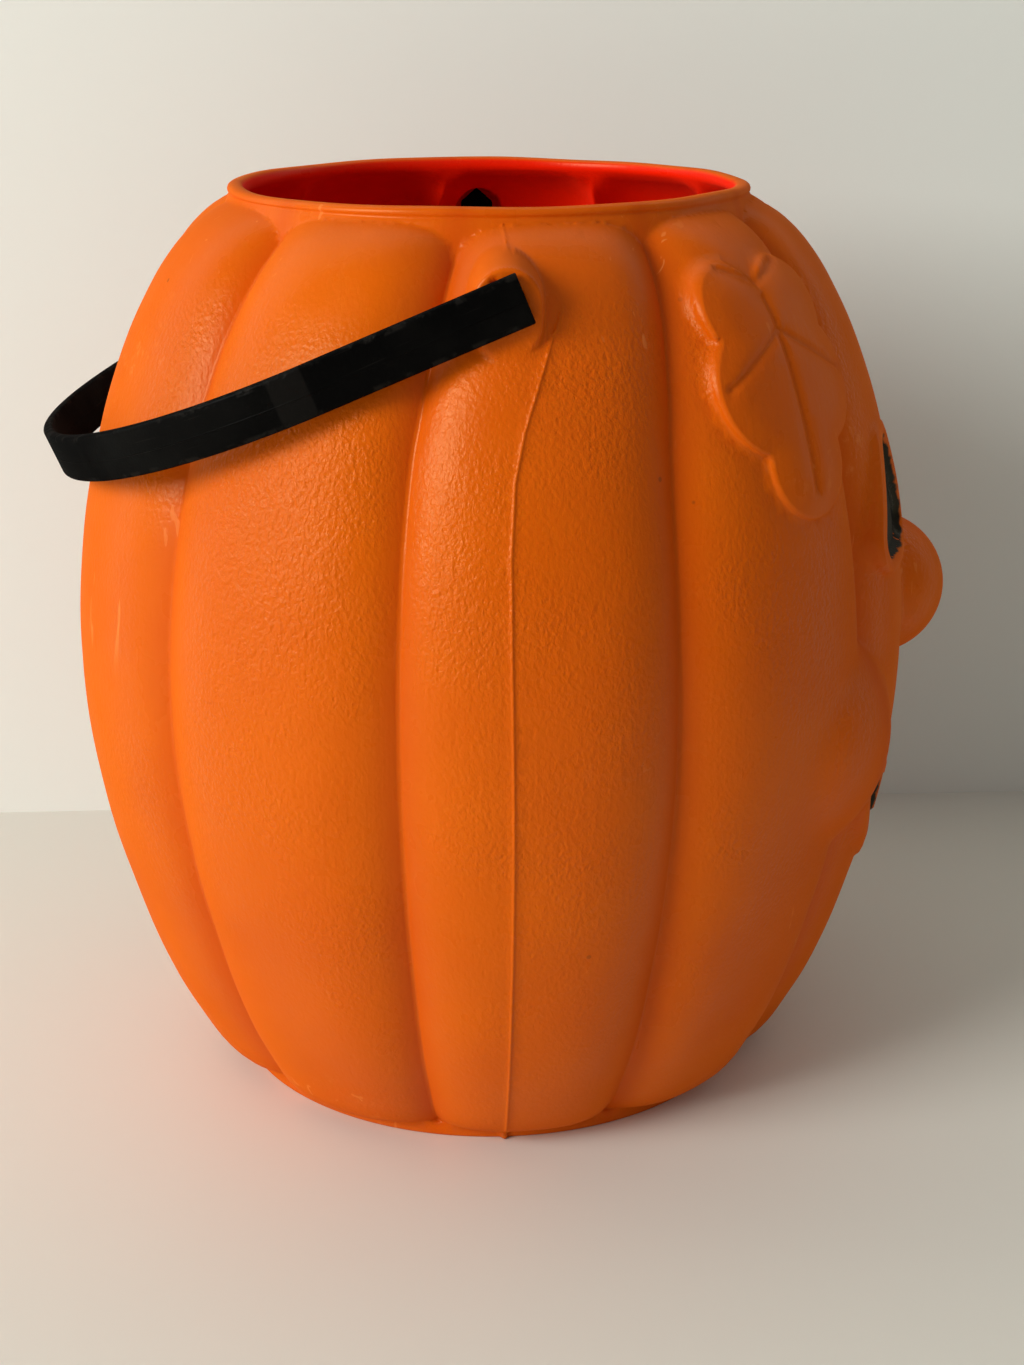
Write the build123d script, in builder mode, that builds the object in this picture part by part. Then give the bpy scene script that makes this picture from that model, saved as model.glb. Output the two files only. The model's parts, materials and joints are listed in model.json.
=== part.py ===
from build123d import *

import os
from math import atan2, cos, degrees, radians, sin, sqrt

# Pumpkin candy pail: a one-piece blow-moulded shell and a one-piece strap handle that swings on two pegs.
# Frame: +Z up, origin on the table under the middle of the foot. The face looks along -Y.
# The handle's hinge lies along X. Azimuths are in degrees from the face, positive towards +X.

# Shell, in millimetres, with the rim's and the foot's radii as shares of the belly's
rim_height = 230.0
belly_radius = 108.0
groove_depth = 6.0
wall = 2.0
rim_radius_share = 0.593
lip_height = 4.0
lip_wall = 3.4
lip_round_share = 0.41
foot_radius_share = 0.655
foot_rim = 9.0
base_recess = 2.0

# Each section of the ribbed body: share of the rim's height, crown radius as a share of the belly's,
# groove depth as a share of the belly's, and the grooves' lean as a share of the lean angle
section_shares = [
    (0.010, 0.670, 0.2, 0.0),
    (0.024, 0.712, 0.75, 0.0),
    (0.040, 0.742, 0.9, 0.0),
    (0.070, 0.780, 0.95, 0.0),
    (0.130, 0.842, 1.0, 0.0),
    (0.226, 0.910, 1.0, 0.0),
    (0.348, 0.972, 1.0, 0.0),
    (0.487, 1.000, 1.0, 0.0),
    (0.617, 0.983, 1.0, 0.0),
    (0.730, 0.935, 1.0, 0.08),
    (0.826, 0.869, 1.0, 0.33),
    (0.896, 0.797, 1.0, 0.65),
    (0.935, 0.742, 1.1, 0.85),
    (0.960, 0.690, 1.15, 0.97),
    (0.974, 0.648, 0.65, 1.0),
    (0.983, 0.610, 0.0, 1.0),
]

# Ribs, with a groove at the front and one at the back: the two front ribs are narrower than the rest,
# and over the shoulder the grooves lean towards the face, by up to about the lean angle beside it
rib_count = 10
rib_pitch_angle = 36.0
front_rib_angle = 32.0
lean_angle = 9.0

# Moulded face: bulges and raised pads with sunk, painted floors. Heights are shares of the rim's height
nose_radius = 19.0
nose_height_share = 0.539
nose_proud = 14.0
cheek_radius = 36.0
cheek_height_share = 0.439
cheek_proud = 5.0
cheek_azimuth = 36.0
pad_proud = 1.2
pad_border = 4.0
floor_sunk = 1.4
eye_azimuth = 19.5
eye_height_share = 0.696
eye_width = 36.0
eye_tall = 34.0
eye_corner = 5.0
mouth_half_width_share = 0.5
mouth_corner_height_share = 0.396
mouth_top_height_share = 0.335
mouth_bottom_height_share = 0.235
mouth_corner = 2.0
tooth_width = 12.0
tooth_drop = 9.0
tooth_offset = 19.0

# Leaves in low relief, hanging over the shoulder on each side of the face
leaf_azimuth = 46.0
leaf_drop = 13.0
leaf_length = 56.0
leaf_half_width = 23.0
leaf_proud = 2.2
# Notches and lobe tips of half a leaf, as shares of its half width and of its length below the top
leaf_stalk_share = (0.0, 0.10)
leaf_shoulder_shares = [(0.52, 0.0), (0.80, 0.28)]
leaf_side_shares = [(1.0, 0.48), (0.56, 0.72)]
leaf_tip_share = (0.0, 1.0)
leaf_inset_share = 1.6

# Strap handle and its hinge
pivot_drop = 17.7
rest_drop_angle = 22.6
front_drop_angle = 22.4
strap_width = 11.4
strap_thickness = 2.6
strap_stand_off = 10.4
strap_straight = 44.0
strap_overhang = 4.0
strap_round = 0.8
peg_radius = 3.0
head_half_width_share = 0.65
head_shoulder_share = 0.45
head_thickness = 2.4
boss_radius = 9.5

# Steps along a strap's leg and of the search for the pail's width beside it
leg_steps = 60
width_steps = 20

# Clearances
peg_clearance = 0.1
head_clearance = 0.6
strap_clearance = 0.4
leg_clearance = 0.8
cut_overrun = 5.0

# Places worked out from the sizes above
rim_radius = rim_radius_share * belly_radius
foot_radius = foot_radius_share * belly_radius
lip_round = lip_round_share * lip_wall
nose_height = nose_height_share * rim_height
cheek_height = cheek_height_share * rim_height
eye_height = eye_height_share * rim_height
mouth_half_width = mouth_half_width_share * belly_radius
mouth_corner_height = mouth_corner_height_share * rim_height
mouth_top_height = mouth_top_height_share * rim_height
mouth_bottom_height = mouth_bottom_height_share * rim_height
leaf_top_height = rim_height - leaf_drop
pivot_height = rim_height - pivot_drop
strap_reach = belly_radius + strap_stand_off
head_half_length = boss_radius - wall - head_clearance
head_half_width = head_half_width_share * head_half_length


def on_circle(azimuth, radius):
    """The X and Y of a point at an azimuth and a distance from the pail's axis."""
    return (radius * sin(radians(azimuth)), -radius * cos(radians(azimuth)))


def facing(azimuth):
    """An upright plane inside the pail, looking outwards at an azimuth: local X runs round, local Y is up."""
    across = on_circle(azimuth + 90.0, 1.0)
    outward = on_circle(azimuth, 1.0)
    return Plane((*on_circle(azimuth, prism_start), 0), x_dir=(*across, 0), z_dir=(*outward, 0))


def section_at(height):
    """The crowns' and the grooves' distances from the axis and the grooves' lean at a height."""
    level_share = min(max(height / rim_height, section_shares[0][0]), section_shares[-1][0])
    low, high = next(pair for pair in zip(section_shares, section_shares[1:]) if level_share <= pair[1][0])
    way = (level_share - low[0]) / (high[0] - low[0])
    shares = [start + (end - start) * way for start, end in zip(low[1:], high[1:])]
    radius_share, depth_share, lean_share = shares
    crown = radius_share * belly_radius
    return crown, crown - depth_share * groove_depth, lean_share * lean_angle


def crown_radius(height):
    """The crowns' distance from the axis at a height."""
    return section_at(height)[0]


right_grooves = [front_rib_angle + rib_pitch_angle * k for k in range(rib_count // 2 - 1)]
left_grooves = [360.0 - azimuth for azimuth in reversed(right_grooves)]
groove_azimuths = [0.0, *right_grooves, 180.0, *left_grooves, 360.0]
body_top = section_shares[-1][0] * rim_height
outer_reach = belly_radius + nose_proud + cut_overrun
prism_start = rim_radius / 2


def rib_edges(lean):
    """The azimuths of each rib's two grooves, which lean towards the face except at the front and the back."""
    turns = [radians(azimuth) for azimuth in groove_azimuths]
    edges = [degrees(turn) - lean * sin(turn) * abs(cos(turn / 2)) for turn in turns]
    return list(zip(edges, edges[1:]))


def rib_radius(azimuth, height):
    """The ribs' distance from the axis at an azimuth and a height, on the arc from groove to groove."""
    crown, groove, lean = section_at(height)
    start, end = next(rib for rib in rib_edges(lean) if rib[0] <= azimuth < rib[1])
    half = radians(end - start) / 2
    turn = radians(azimuth - (start + end) / 2)
    arc_middle = (crown**2 - groove**2) / (2 * (crown - groove * cos(half)))
    arc_radius = crown - arc_middle
    return arc_middle * cos(turn) + sqrt(arc_radius**2 - (arc_middle * sin(turn)) ** 2)


def rib_half_width(back, height):
    """Half the pail's width along X at a distance behind the axis and a height, found by repeated steps."""
    half_width = crown_radius(height)
    for _ in range(width_steps):
        azimuth = 90.0 + degrees(atan2(back, half_width))
        half_width = sqrt(rib_radius(azimuth, height) ** 2 - back**2)
    return half_width


def rib_outline(crown, groove, lean):
    """The closed outline of one level: an arc for each rib, from groove to groove over its crown."""
    for start, end in rib_edges(lean):
        middle = (start + end) / 2
        ThreePointArc(on_circle(start, groove), on_circle(middle, crown), on_circle(end, groove))


def ribbed_body(inset, lowest):
    """The ribbed body drawn in by an inset, from its lowest level up to the collar."""
    with BuildPart() as body:
        for height_share, radius_share, depth_share, lean_share in section_shares:
            height = max(height_share * rim_height, lowest)
            crown = radius_share * belly_radius - inset
            groove = crown - depth_share * groove_depth
            with BuildSketch(Plane.XY.offset(height)):
                with BuildLine():
                    rib_outline(crown, groove, lean_share * lean_angle)
                make_face()
        loft()
    return body.part


def crown_envelope(offset_out):
    """A smooth turned solid through the ribs' crowns, grown or shrunk by an offset."""
    crowns = [
        (radius_share * belly_radius + offset_out, height_share * rim_height)
        for height_share, radius_share, *_ in section_shares
    ]
    with BuildPart() as envelope:
        with BuildSketch(Plane.XZ):
            with BuildLine():
                Spline(*crowns)
                Polyline(crowns[-1], (0, crowns[-1][1]), (0, crowns[0][1]), crowns[0])
            make_face()
        revolve(axis=Axis.Z)
    return envelope.part


def leaf_sketch(inset):
    """A leaf of five lobes, one arc each, hanging from its stalk; an inset draws it in on every side."""
    half_width = leaf_half_width - leaf_inset_share * inset
    length = leaf_length - 2 * inset

    def point(shares, side=1):
        return (side * shares[0] * half_width, leaf_top_height - inset - shares[1] * length)

    with BuildSketch() as sketch:
        with BuildLine():
            for side in (1, -1):
                shoulder_tip, shoulder_notch = [point(shares, side) for shares in leaf_shoulder_shares]
                side_tip, side_notch = [point(shares, side) for shares in leaf_side_shares]
                ThreePointArc(point(leaf_stalk_share), shoulder_tip, shoulder_notch)
                ThreePointArc(shoulder_notch, side_tip, side_notch)
            last_notch = leaf_side_shares[-1]
            ThreePointArc(point(last_notch), point(leaf_tip_share), point(last_notch, -1))
        make_face()
    return sketch.sketch


# An eye: a rounded triangle, point up
eye_low = eye_height - eye_tall / 2
with BuildSketch() as eye:
    with BuildLine():
        Polyline((-eye_width / 2, eye_low), (eye_width / 2, eye_low), (0, eye_low + eye_tall), close=True)
    make_face()
    fillet(eye.vertices(), eye_corner)

# The mouth: a crescent between two arcs, with its corners up
mouth_left = (-mouth_half_width, mouth_corner_height)
mouth_right = (mouth_half_width, mouth_corner_height)
with BuildSketch() as grin:
    with BuildLine():
        ThreePointArc(mouth_left, (0, mouth_top_height), mouth_right)
        ThreePointArc(mouth_left, (0, mouth_bottom_height), mouth_right)
    make_face()
    fillet(grin.vertices(), mouth_corner)

# The mouth's painted floor leaves out two teeth at the upper lip and one at the lower
with BuildSketch() as toothed_grin:
    add(grin.sketch)
    with Locations((-tooth_offset, mouth_top_height), (tooth_offset, mouth_top_height)):
        Rectangle(tooth_width, 2 * tooth_drop, mode=Mode.SUBTRACT)
    with Locations((0, mouth_bottom_height)):
        Rectangle(tooth_width, 2 * tooth_drop, mode=Mode.SUBTRACT)


def raised_prism(azimuth, outline, grow, height_out):
    """An outline pushed outwards from the axis at an azimuth, and stopped at a height over the crowns."""
    envelope = crown_envelope(height_out)
    with BuildPart() as prism:
        with BuildSketch(facing(azimuth)):
            add(outline)
            if grow:
                offset(amount=grow)
        extrude(amount=outer_reach - prism_start)
        add(envelope, mode=Mode.INTERSECT)
    return prism.part


def sunk_prism(azimuth, outline, grow, depth):
    """What an outline cuts away from the crowns' surface down to a depth."""
    envelope = crown_envelope(-depth)
    with BuildPart() as prism:
        with BuildSketch(facing(azimuth)):
            add(outline)
            if grow:
                offset(amount=grow)
        extrude(amount=outer_reach - prism_start)
        add(envelope, mode=Mode.SUBTRACT)
    return prism.part


def bulge(azimuth, height, radius, proud, inset):
    """A ball that stands proud of the crowns, or its hollow when drawn in by the wall."""
    middle = on_circle(azimuth, crown_radius(height) + proud - radius)
    outward = on_circle(azimuth, 1.0)
    with BuildPart() as ball:
        with Locations(Plane((*middle, height), x_dir=(0, 0, 1), z_dir=(*outward, 0))):
            Sphere(radius - inset)
    return ball.part


def hinge_drum(radius, start, stop):
    """Two drums on the hinge axis, one on each side, between two distances from the axis."""
    with BuildPart() as drums:
        for side in (1, -1):
            with BuildSketch(Plane((side * start, 0, pivot_height), x_dir=(0, 1, 0), z_dir=(side, 0, 0))):
                Circle(radius)
            extrude(amount=stop - start)
    return drums.part


def widths_under_leg(way, drop_angle):
    """Half the pail's width under a strap leg's lower edge that lies to the back (1) or the front (-1)."""
    down, level = sin(radians(drop_angle)), cos(radians(drop_angle))
    widths = []
    for step in range(leg_steps + 1):
        place = strap_straight * step / leg_steps
        back = way * (place * level - strap_width / 2 * down)
        widths.append(rib_half_width(back, pivot_height - place * down - strap_width / 2 * level))
    return widths


# The hinge: the lower edges of the strap's legs just clear the ribs at both ends of the swing,
# and the bosses reach out to the legs
leg_widths = widths_under_leg(1, rest_drop_angle) + widths_under_leg(-1, front_drop_angle)
strap_inside = max(leg_widths) + leg_clearance
boss_face = strap_inside - strap_clearance
boss_inside = boss_face - wall
hole_radius = peg_radius + peg_clearance

# Face features: the azimuth, outline and painted floor of each pad, and the place of each bulge
painted_pads = [
    (eye_azimuth, eye.sketch, eye.sketch),
    (-eye_azimuth, eye.sketch, eye.sketch),
    (0.0, grin.sketch, toothed_grin.sketch),
]
bulges = [
    (0.0, nose_height, nose_radius, nose_proud),
    (cheek_azimuth, cheek_height, cheek_radius, cheek_proud),
    (-cheek_azimuth, cheek_height, cheek_radius, cheek_proud),
]

# Outside of the shell
with BuildPart() as outside:
    with BuildSketch(Plane.XY):
        Circle(foot_radius)
    extrude(amount=section_shares[1][0] * rim_height)
    with BuildSketch(Plane.XY.offset(body_top - lip_height)):
        Circle(rim_radius)
    extrude(amount=rim_height - body_top + lip_height)
    add(ribbed_body(0.0, 0.0))
    for place in bulges:
        add(bulge(*place, 0.0))
    for side in (1, -1):
        add(raised_prism(side * leaf_azimuth, leaf_sketch(0.0), 0.0, leaf_proud))
    for azimuth, outline, _ in painted_pads:
        add(raised_prism(azimuth, outline, pad_border, pad_proud))
    for azimuth, _, floor in painted_pads:
        add(sunk_prism(azimuth, floor, 0.0, floor_sunk), mode=Mode.SUBTRACT)
    add(hinge_drum(boss_radius, rim_radius, boss_face))
    add(hinge_drum(boss_radius, boss_face, outer_reach), mode=Mode.SUBTRACT)

# Inside of the shell: the same form drawn in by the wall, with the wall kept behind every sunk floor
with BuildPart() as cavity:
    add(ribbed_body(wall, base_recess + wall))
    with BuildSketch(Plane.XY.offset(body_top - lip_height)):
        Circle(rim_radius - lip_wall)
    extrude(amount=rim_height - body_top + lip_height + cut_overrun)
    for place in bulges:
        add(bulge(*place, wall))
    for side in (1, -1):
        add(raised_prism(side * leaf_azimuth, leaf_sketch(wall), 0.0, leaf_proud - wall))
    for azimuth, outline, _ in painted_pads:
        add(sunk_prism(azimuth, outline, wall, floor_sunk + wall), mode=Mode.SUBTRACT)
    add(hinge_drum(boss_radius + wall, boss_inside, outer_reach), mode=Mode.SUBTRACT)
    add(hinge_drum(boss_radius - wall, rim_radius, boss_inside))

# Pail shell
with BuildPart() as pail_shell:
    add(outside.part)
    add(cavity.part, mode=Mode.SUBTRACT)
    with BuildSketch(Plane.XY):
        Circle(foot_radius - foot_rim)
    extrude(amount=base_recess, mode=Mode.SUBTRACT)
    add(hinge_drum(hole_radius, rim_radius, outer_reach), mode=Mode.SUBTRACT)
    fillet(edges().filter_by(GeomType.CIRCLE).group_by(Axis.Z)[-1], lip_round)

# Strap handle, drawn in the plane of its loop, which falls to the back in the rest position
rest_turn = radians(rest_drop_angle)
loop_plane = Plane((0, 0, pivot_height), x_dir=(1, 0, 0), z_dir=(0, sin(rest_turn), cos(rest_turn)))
strap_outside = strap_inside + strap_thickness
loop_depth = strap_reach - strap_straight


def loop_sketch(half_width, depth):
    """The area inside one edge of the strap: two straight legs and half an ellipse."""
    with BuildSketch(loop_plane) as loop:
        with BuildLine():
            EllipticalCenterArc((0, strap_straight), half_width, depth, start_angle=0, arc_size=180)
            Polyline(
                (-half_width, strap_straight),
                (-half_width, -strap_overhang),
                (half_width, -strap_overhang),
                (half_width, strap_straight),
            )
        make_face()
    return loop.sketch


with BuildPart() as strap_handle:
    extrude(loop_sketch(strap_outside, loop_depth + strap_thickness / 2), strap_width / 2, both=True)
    extrude(
        loop_sketch(strap_inside, loop_depth - strap_thickness / 2),
        strap_width / 2,
        both=True,
        mode=Mode.SUBTRACT,
    )
    fillet(edges().filter_by(lambda edge: edge.length > strap_straight), strap_round)
    add(hinge_drum(peg_radius, boss_inside - strap_clearance, strap_inside + strap_thickness / 2))
    for side in (1, -1):
        head_face = boss_inside - strap_clearance
        with BuildSketch(Plane((side * head_face, 0, pivot_height), x_dir=(0, 1, 0), z_dir=(side, 0, 0))):
            with BuildLine():
                shoulder = head_shoulder_share * head_half_length
                Polyline(
                    (0, head_half_length),
                    (head_half_width, shoulder),
                    (head_half_width, -shoulder),
                    (0, -head_half_length),
                    (-head_half_width, -shoulder),
                    (-head_half_width, shoulder),
                    close=True,
                )
            make_face()
        extrude(amount=-head_thickness)

pail_shell.part.label = "pail_shell"
strap_handle.part.label = "strap_handle"

os.makedirs("parts", exist_ok=True)
export_step(pail_shell.part, "parts/pail_shell.step")
export_step(strap_handle.part, "parts/strap_handle.step")

print("strap inside half width", round(strap_inside, 2), "boss face", round(boss_face, 2))
print("pail volume", round(pail_shell.part.volume), "handle volume", round(strap_handle.part.volume))
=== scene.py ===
import json
from math import atan, cos, pi, radians, sin

import bmesh
import bpy
import numpy as np
from mathutils import Matrix, Vector
from mathutils.geometry import delaunay_2d_cdt
from mathutils.kdtree import KDTree


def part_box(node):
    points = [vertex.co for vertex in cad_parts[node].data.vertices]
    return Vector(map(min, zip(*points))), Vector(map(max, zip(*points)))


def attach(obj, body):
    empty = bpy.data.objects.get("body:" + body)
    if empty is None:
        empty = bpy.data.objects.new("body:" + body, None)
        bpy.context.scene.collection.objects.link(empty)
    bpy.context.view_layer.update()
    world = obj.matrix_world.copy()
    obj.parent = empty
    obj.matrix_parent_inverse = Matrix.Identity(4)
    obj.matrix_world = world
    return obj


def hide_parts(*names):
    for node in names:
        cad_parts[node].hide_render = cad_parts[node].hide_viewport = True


# Pumpkin candy pail: a blow-moulded ribbed shell with a painted face, and a black strap handle.
# Frame: +Z up, origin under the middle of the foot, -Y the way the face looks, X along the handle's hinge.
# Azimuths are in degrees from the face, positive towards +X. Sizes below are in millimetres.

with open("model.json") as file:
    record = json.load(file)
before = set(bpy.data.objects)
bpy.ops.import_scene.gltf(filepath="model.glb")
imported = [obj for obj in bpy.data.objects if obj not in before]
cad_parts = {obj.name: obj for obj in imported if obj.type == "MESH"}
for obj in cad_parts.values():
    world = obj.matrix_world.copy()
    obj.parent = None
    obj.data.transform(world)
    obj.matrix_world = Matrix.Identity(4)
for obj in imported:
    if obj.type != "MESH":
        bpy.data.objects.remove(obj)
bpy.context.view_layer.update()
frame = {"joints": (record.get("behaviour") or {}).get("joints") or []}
shell_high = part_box("pail_shell")[1]
strap_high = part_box("strap_handle")[1]
swing = next(joint for joint in frame["joints"] if joint["name"] == "handle_swing")
MM = 0.001

# Ribbed body, from the frame and the moulding, with room for the parting line's ridge
SEAM_ROOM = 0.45
RIM_HEIGHT = shell_high.z / MM
BELLY_RADIUS = shell_high.x / MM - SEAM_ROOM
GROOVE_DEPTH = 8.8
WALL = 2.0
FOOT_RADIUS = 70.7
FOOT_RING = 9.0
BASE_RECESS = 2.0
COLLAR_RADIUS = 63.7
COLLAR_SLOPE = 0.3
COLLAR_BLEND = 0.4
COLLAR_LOWEST = 205.0
COLLAR_LOWEST_SHARE = 0.85
TOP_STEP = 1.1
TOP_STEPS = 400
TABLE_STEPS = 1001
CROWN_FULLNESS = 3.3
BULGE_BLEND = 2.4

# Along the height: crown radius as a share of the belly's, groove depth as a share of the deepest,
# and the grooves' lean towards the face as a share of the lean angle
CROWN_SHARES = [
    (0.0, 0.640), (0.010, 0.675), (0.024, 0.714), (0.040, 0.743), (0.070, 0.780), (0.130, 0.842),
    (0.226, 0.910), (0.348, 0.972), (0.487, 1.000), (0.617, 0.983), (0.730, 0.935), (0.826, 0.869),
    (0.896, 0.797), (0.935, 0.742), (0.960, 0.691), (0.973, 0.652), (0.983, 0.607), (1.0, 0.490),
]
GROOVE_SHARES = [
    (0.0, 0.50), (0.024, 0.68), (0.07, 0.71), (0.14, 0.71), (0.30, 0.69), (0.50, 0.65), (0.70, 0.68),
    (0.85, 0.76), (0.93, 0.92), (0.96, 1.0), (1.0, 1.0),
]
LEAN_SHARES = [
    (0.0, 0.0), (0.60, 0.0), (0.73, 0.08), (0.826, 0.33), (0.896, 0.65), (0.935, 0.85), (0.96, 0.97),
    (1.0, 1.0),
]
LEAN_ANGLE = 9.0
LEAN_STEPS = 8

# Ribs on one side: the narrow one beside the face's middle groove, the side ones, and the last up to the back
FRONT_RIB_ANGLE = 32.0
RIB_ANGLE = 36.0
SIDE_RIBS = 3
HALF_RIB_COLUMNS = 11
COLUMN_CROWDING = 0.45
GROOVE_COLUMN = 0.45
ROW_STEP = 1.9
FIRST_ROW, LAST_ROW = 5.0, 226.6
SHOULDER_HEIGHT, SHOULDER_ROWS = 200.0, 22
INNER_FIRST_ROW, INNER_LAST_ROW = 8.0, 224.0
INNER_ROW_STEP = 4.0
LINE_GAP = 0.8
BESIDE_SHARE = 0.9
MERGE_GAP = 1e-5
ROW_DIGITS, ROW_SLACK = 4, 1e-4
BACK_EDGE = 179.9999
RING_POINTS = 56
TOP_LIMIT = LAST_ROW - 0.3
TOP_GAPS = (-1.0, -0.45, -0.15, 0.15, 0.45, 1.0)
DEGREE_WIDTH = 100.0 * pi / 180.0

# Lip, over the rim to the inside: height, radius, and shares of the rim's wave and of the inside's red, which
# is painted shade
LIP_ROWS = [
    (227.0, 64.45, 0.0, 0.0), (227.3, 64.3, 0.0, 0.0), (227.7, 64.35, 0.2, 0.0), (228.2, 64.6, 0.6, 0.0),
    (228.8, 64.65, 1.0, 0.0), (229.4, 64.45, 1.0, 0.0), (229.8, 63.95, 1.0, 0.0), (230.0, 63.2, 1.0, 0.0),
    (229.98, 62.2, 1.0, 0.0), (229.85, 61.4, 1.0, 0.1), (229.5, 60.9, 1.0, 0.6), (229.0, 60.7, 1.0, 1.0),
    (228.0, 60.65, 1.0, 1.0), (226.4, 60.8, 0.0, 1.0),
]
RIM_SHORT = 0.45
RIM_WAVES = [(0.22, 2, 0.5), (0.15, 5, 2.0), (0.08, 11, 0.0)]

# Inner floor, from the wall to the middle: height and radius
FLOOR_HEIGHT = BASE_RECESS + WALL
FLOOR_ROWS = [
    (6.4, 70.2), (5.0, 67.5), (FLOOR_HEIGHT + 0.1, 61.0), (FLOOR_HEIGHT, 42.0), (FLOOR_HEIGHT, 20.0),
]

# Foot, from the ribs to the middle of the base: height, radius, and share of the round foot against the ribs
FOOT_INSIDE = FOOT_RADIUS - FOOT_RING
FOOT_ROWS = [
    (4.5, FOOT_RADIUS, 0.1), (4.1, FOOT_RADIUS, 0.3), (3.8, FOOT_RADIUS, 0.6), (3.6, FOOT_RADIUS, 1.0),
    (0.7, FOOT_RADIUS, 1.0), (0.15, FOOT_RADIUS - 0.3, 1.0), (0.0, FOOT_RADIUS - 0.9, 1.0),
    (0.0, FOOT_INSIDE + 0.8, 1.0), (0.25, FOOT_INSIDE + 0.2, 1.0), (1.7, FOOT_INSIDE - 0.3, 1.0),
    (BASE_RECESS, FOOT_INSIDE - 0.9, 1.0), (BASE_RECESS, 40.0, 1.0), (BASE_RECESS, 20.0, 1.0),
]

# Face: slopes are given as the distances from an outline where they start and end
FACE_REACH = 45.0
NOSE_RADIUS = 19.0
NOSE_HEIGHT = 0.539 * RIM_HEIGHT
NOSE_PROUD = 13.6
NOSE_TILTS = np.linspace(0.08, 1.28, 15)
NOSE_FOOT_RINGS = (18.9, 19.8, 21.0)
NOSE_CLEAR = 21.6
NOSE_CLEAR_ANGLE = 60.0
HOLLOW_SLACK = 3.0
CHEEK_RADIUS = 36.0
CHEEK_HEIGHT = 0.439 * RIM_HEIGHT
CHEEK_PROUD = 5.0
CHEEK_AZIMUTH = 36.0
EYE_AZIMUTH = 19.5
EYE_HEIGHT = 0.696 * RIM_HEIGHT
EYE_WIDTH = 36.0
EYE_TALL = 34.0
EYE_CORNER = 5.0
FACE_SPACING = 1.0
CORNER_STEPS, LIP_STEPS = 8, 60
MOUTH_HALF_WIDTH = 54.0
MOUTH_CORNER_HEIGHT = 0.396 * RIM_HEIGHT
MOUTH_TOP_HEIGHT = 0.335 * RIM_HEIGHT
MOUTH_BOTTOM_HEIGHT = 0.235 * RIM_HEIGHT
TOOTH_WIDTH = 12.0
TOOTH_DROP = 9.0
TOOTH_OFFSET = 19.0
PAD_PROUD = 1.2
PAD_BORDER = 4.0
PAD_SLOPE = (0.7, -0.5)
PAD_ROUND = 0.35
PAD_ROUND_SLOPE = (-1.6, 0.2)
PAD_GAPS = (0.7, 0.1, -0.5, -1.6)
FLOOR_SUNK = 1.4
FLOOR_SLOPE = (0.35, -0.5)

# Leaf
LEAF_REACH = 30.0
LEAF_AZIMUTH = 46.0
LEAF_TOP = RIM_HEIGHT - 13.0
LEAF_LENGTH = 56.0
LEAF_HALF_WIDTH = 23.0
LEAF_PROUD = 2.2
LEAF_SPACING = 1.2
LOBE_STEPS = 16
LEAF_STALK_SHARE = (0.0, 0.10)
LEAF_SHOULDER_SHARES = [(0.52, 0.0), (0.80, 0.28)]
LEAF_SIDE_SHARES = [(1.0, 0.48), (0.56, 0.72)]
LEAF_TIP_SHARE = (0.0, 1.0)
LEAF_SLOPE = (0.5, -0.5)
LEAF_DOME = 0.9
LEAF_DOME_SLOPE = (-6.0, 0.0)
LEAF_GAPS = (0.5, -0.5, 1.1, 2.0)
MOAT_DEPTH = 0.55
MOAT_MIDDLE = 1.1
MOAT_WIDTH = 0.8
VEIN_DEPTH = 0.9
VEIN_WIDTH = 0.75
VEIN_GAPS = (0.0001, 0.8, -0.8, 1.7, -1.7)
VEIN_START = 2.0
VEIN_ROOT_SHARE = 0.35
VEIN_LENGTH_SHARE = 0.86

# Hinge and strap
PIVOT_HEIGHT = swing["pos_m"][2] / MM
STRAP_OUTSIDE = strap_high.x / MM
STRAP_WIDTH = 11.4
STRAP_THICKNESS = 2.6
STRAP_INSIDE = STRAP_OUTSIDE - STRAP_THICKNESS
STRAP_REACH = 118.4
STRAP_STRAIGHT = 44.0
STRAP_OVERHANG = 4.0
STRAP_REST_ANGLE = 22.6
STRAP_EDGE, STRAP_EDGE_STEPS = 0.8, 4
STRAP_POINTS = 240
STRAP_GAP = 0.4
STRAP_ROOM = 0.05
STRAP_END_EDGE = 0.3
BEVEL_STEPS, BEVEL_ANGLE = 2, 50.0
STRAP_SHARP_ANGLE = 38.0
BOSS_SIDE = 45.0
BOSS_SPAN_ANGLE = 60.0
BOSS_RADIUS = 9.5
BOSS_FLAT = 7.0
BOSS_FALL = 2.2
BOSS_TAIL = 4.5
BOSS_FACE = STRAP_INSIDE - STRAP_GAP
BOSS_REACH = 14.0
BOSS_RINGS = (4.6, 6.6, 7.2, 7.6, 8.0, 8.4, 8.8, 9.2, 9.7, 10.4, 11.2, 12.2, 13.2)
HOLLOW_SLOPE = (BOSS_RADIUS - WALL + 0.7, BOSS_RADIUS - WALL - 0.1)
HOLLOW_RINGS = (4.6, 6.2, 7.4, 7.8, 8.2, 9.0, 10.2)
HOLLOW_CLEAR = 11.5
PEG_RADIUS, PEG_POINTS = 3.0, 40
PEG_SUNK = 1.0
HOLE_RADIUS = 3.1
HOLE_POINTS = 40
HOLE_SPAN_ANGLE, HOLE_SPAN = 8.0, 9.0
SLIT_REACH = 6.4
SLIT_HALF_WIDTH = 0.9
SLIT_ROUND = 0.6
HOLE_SPACING = 0.9
SLIT_ANGLE = 58.0
HEAD_ROOM = 0.6
HEAD_HALF_LENGTH = BOSS_RADIUS - WALL - HEAD_ROOM
HEAD_HALF_WIDTH = 0.65 * HEAD_HALF_LENGTH
HEAD_SHOULDER = 0.45 * HEAD_HALF_LENGTH
HEAD_THICKNESS = 2.4
HEAD_EDGE = 0.45
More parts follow.
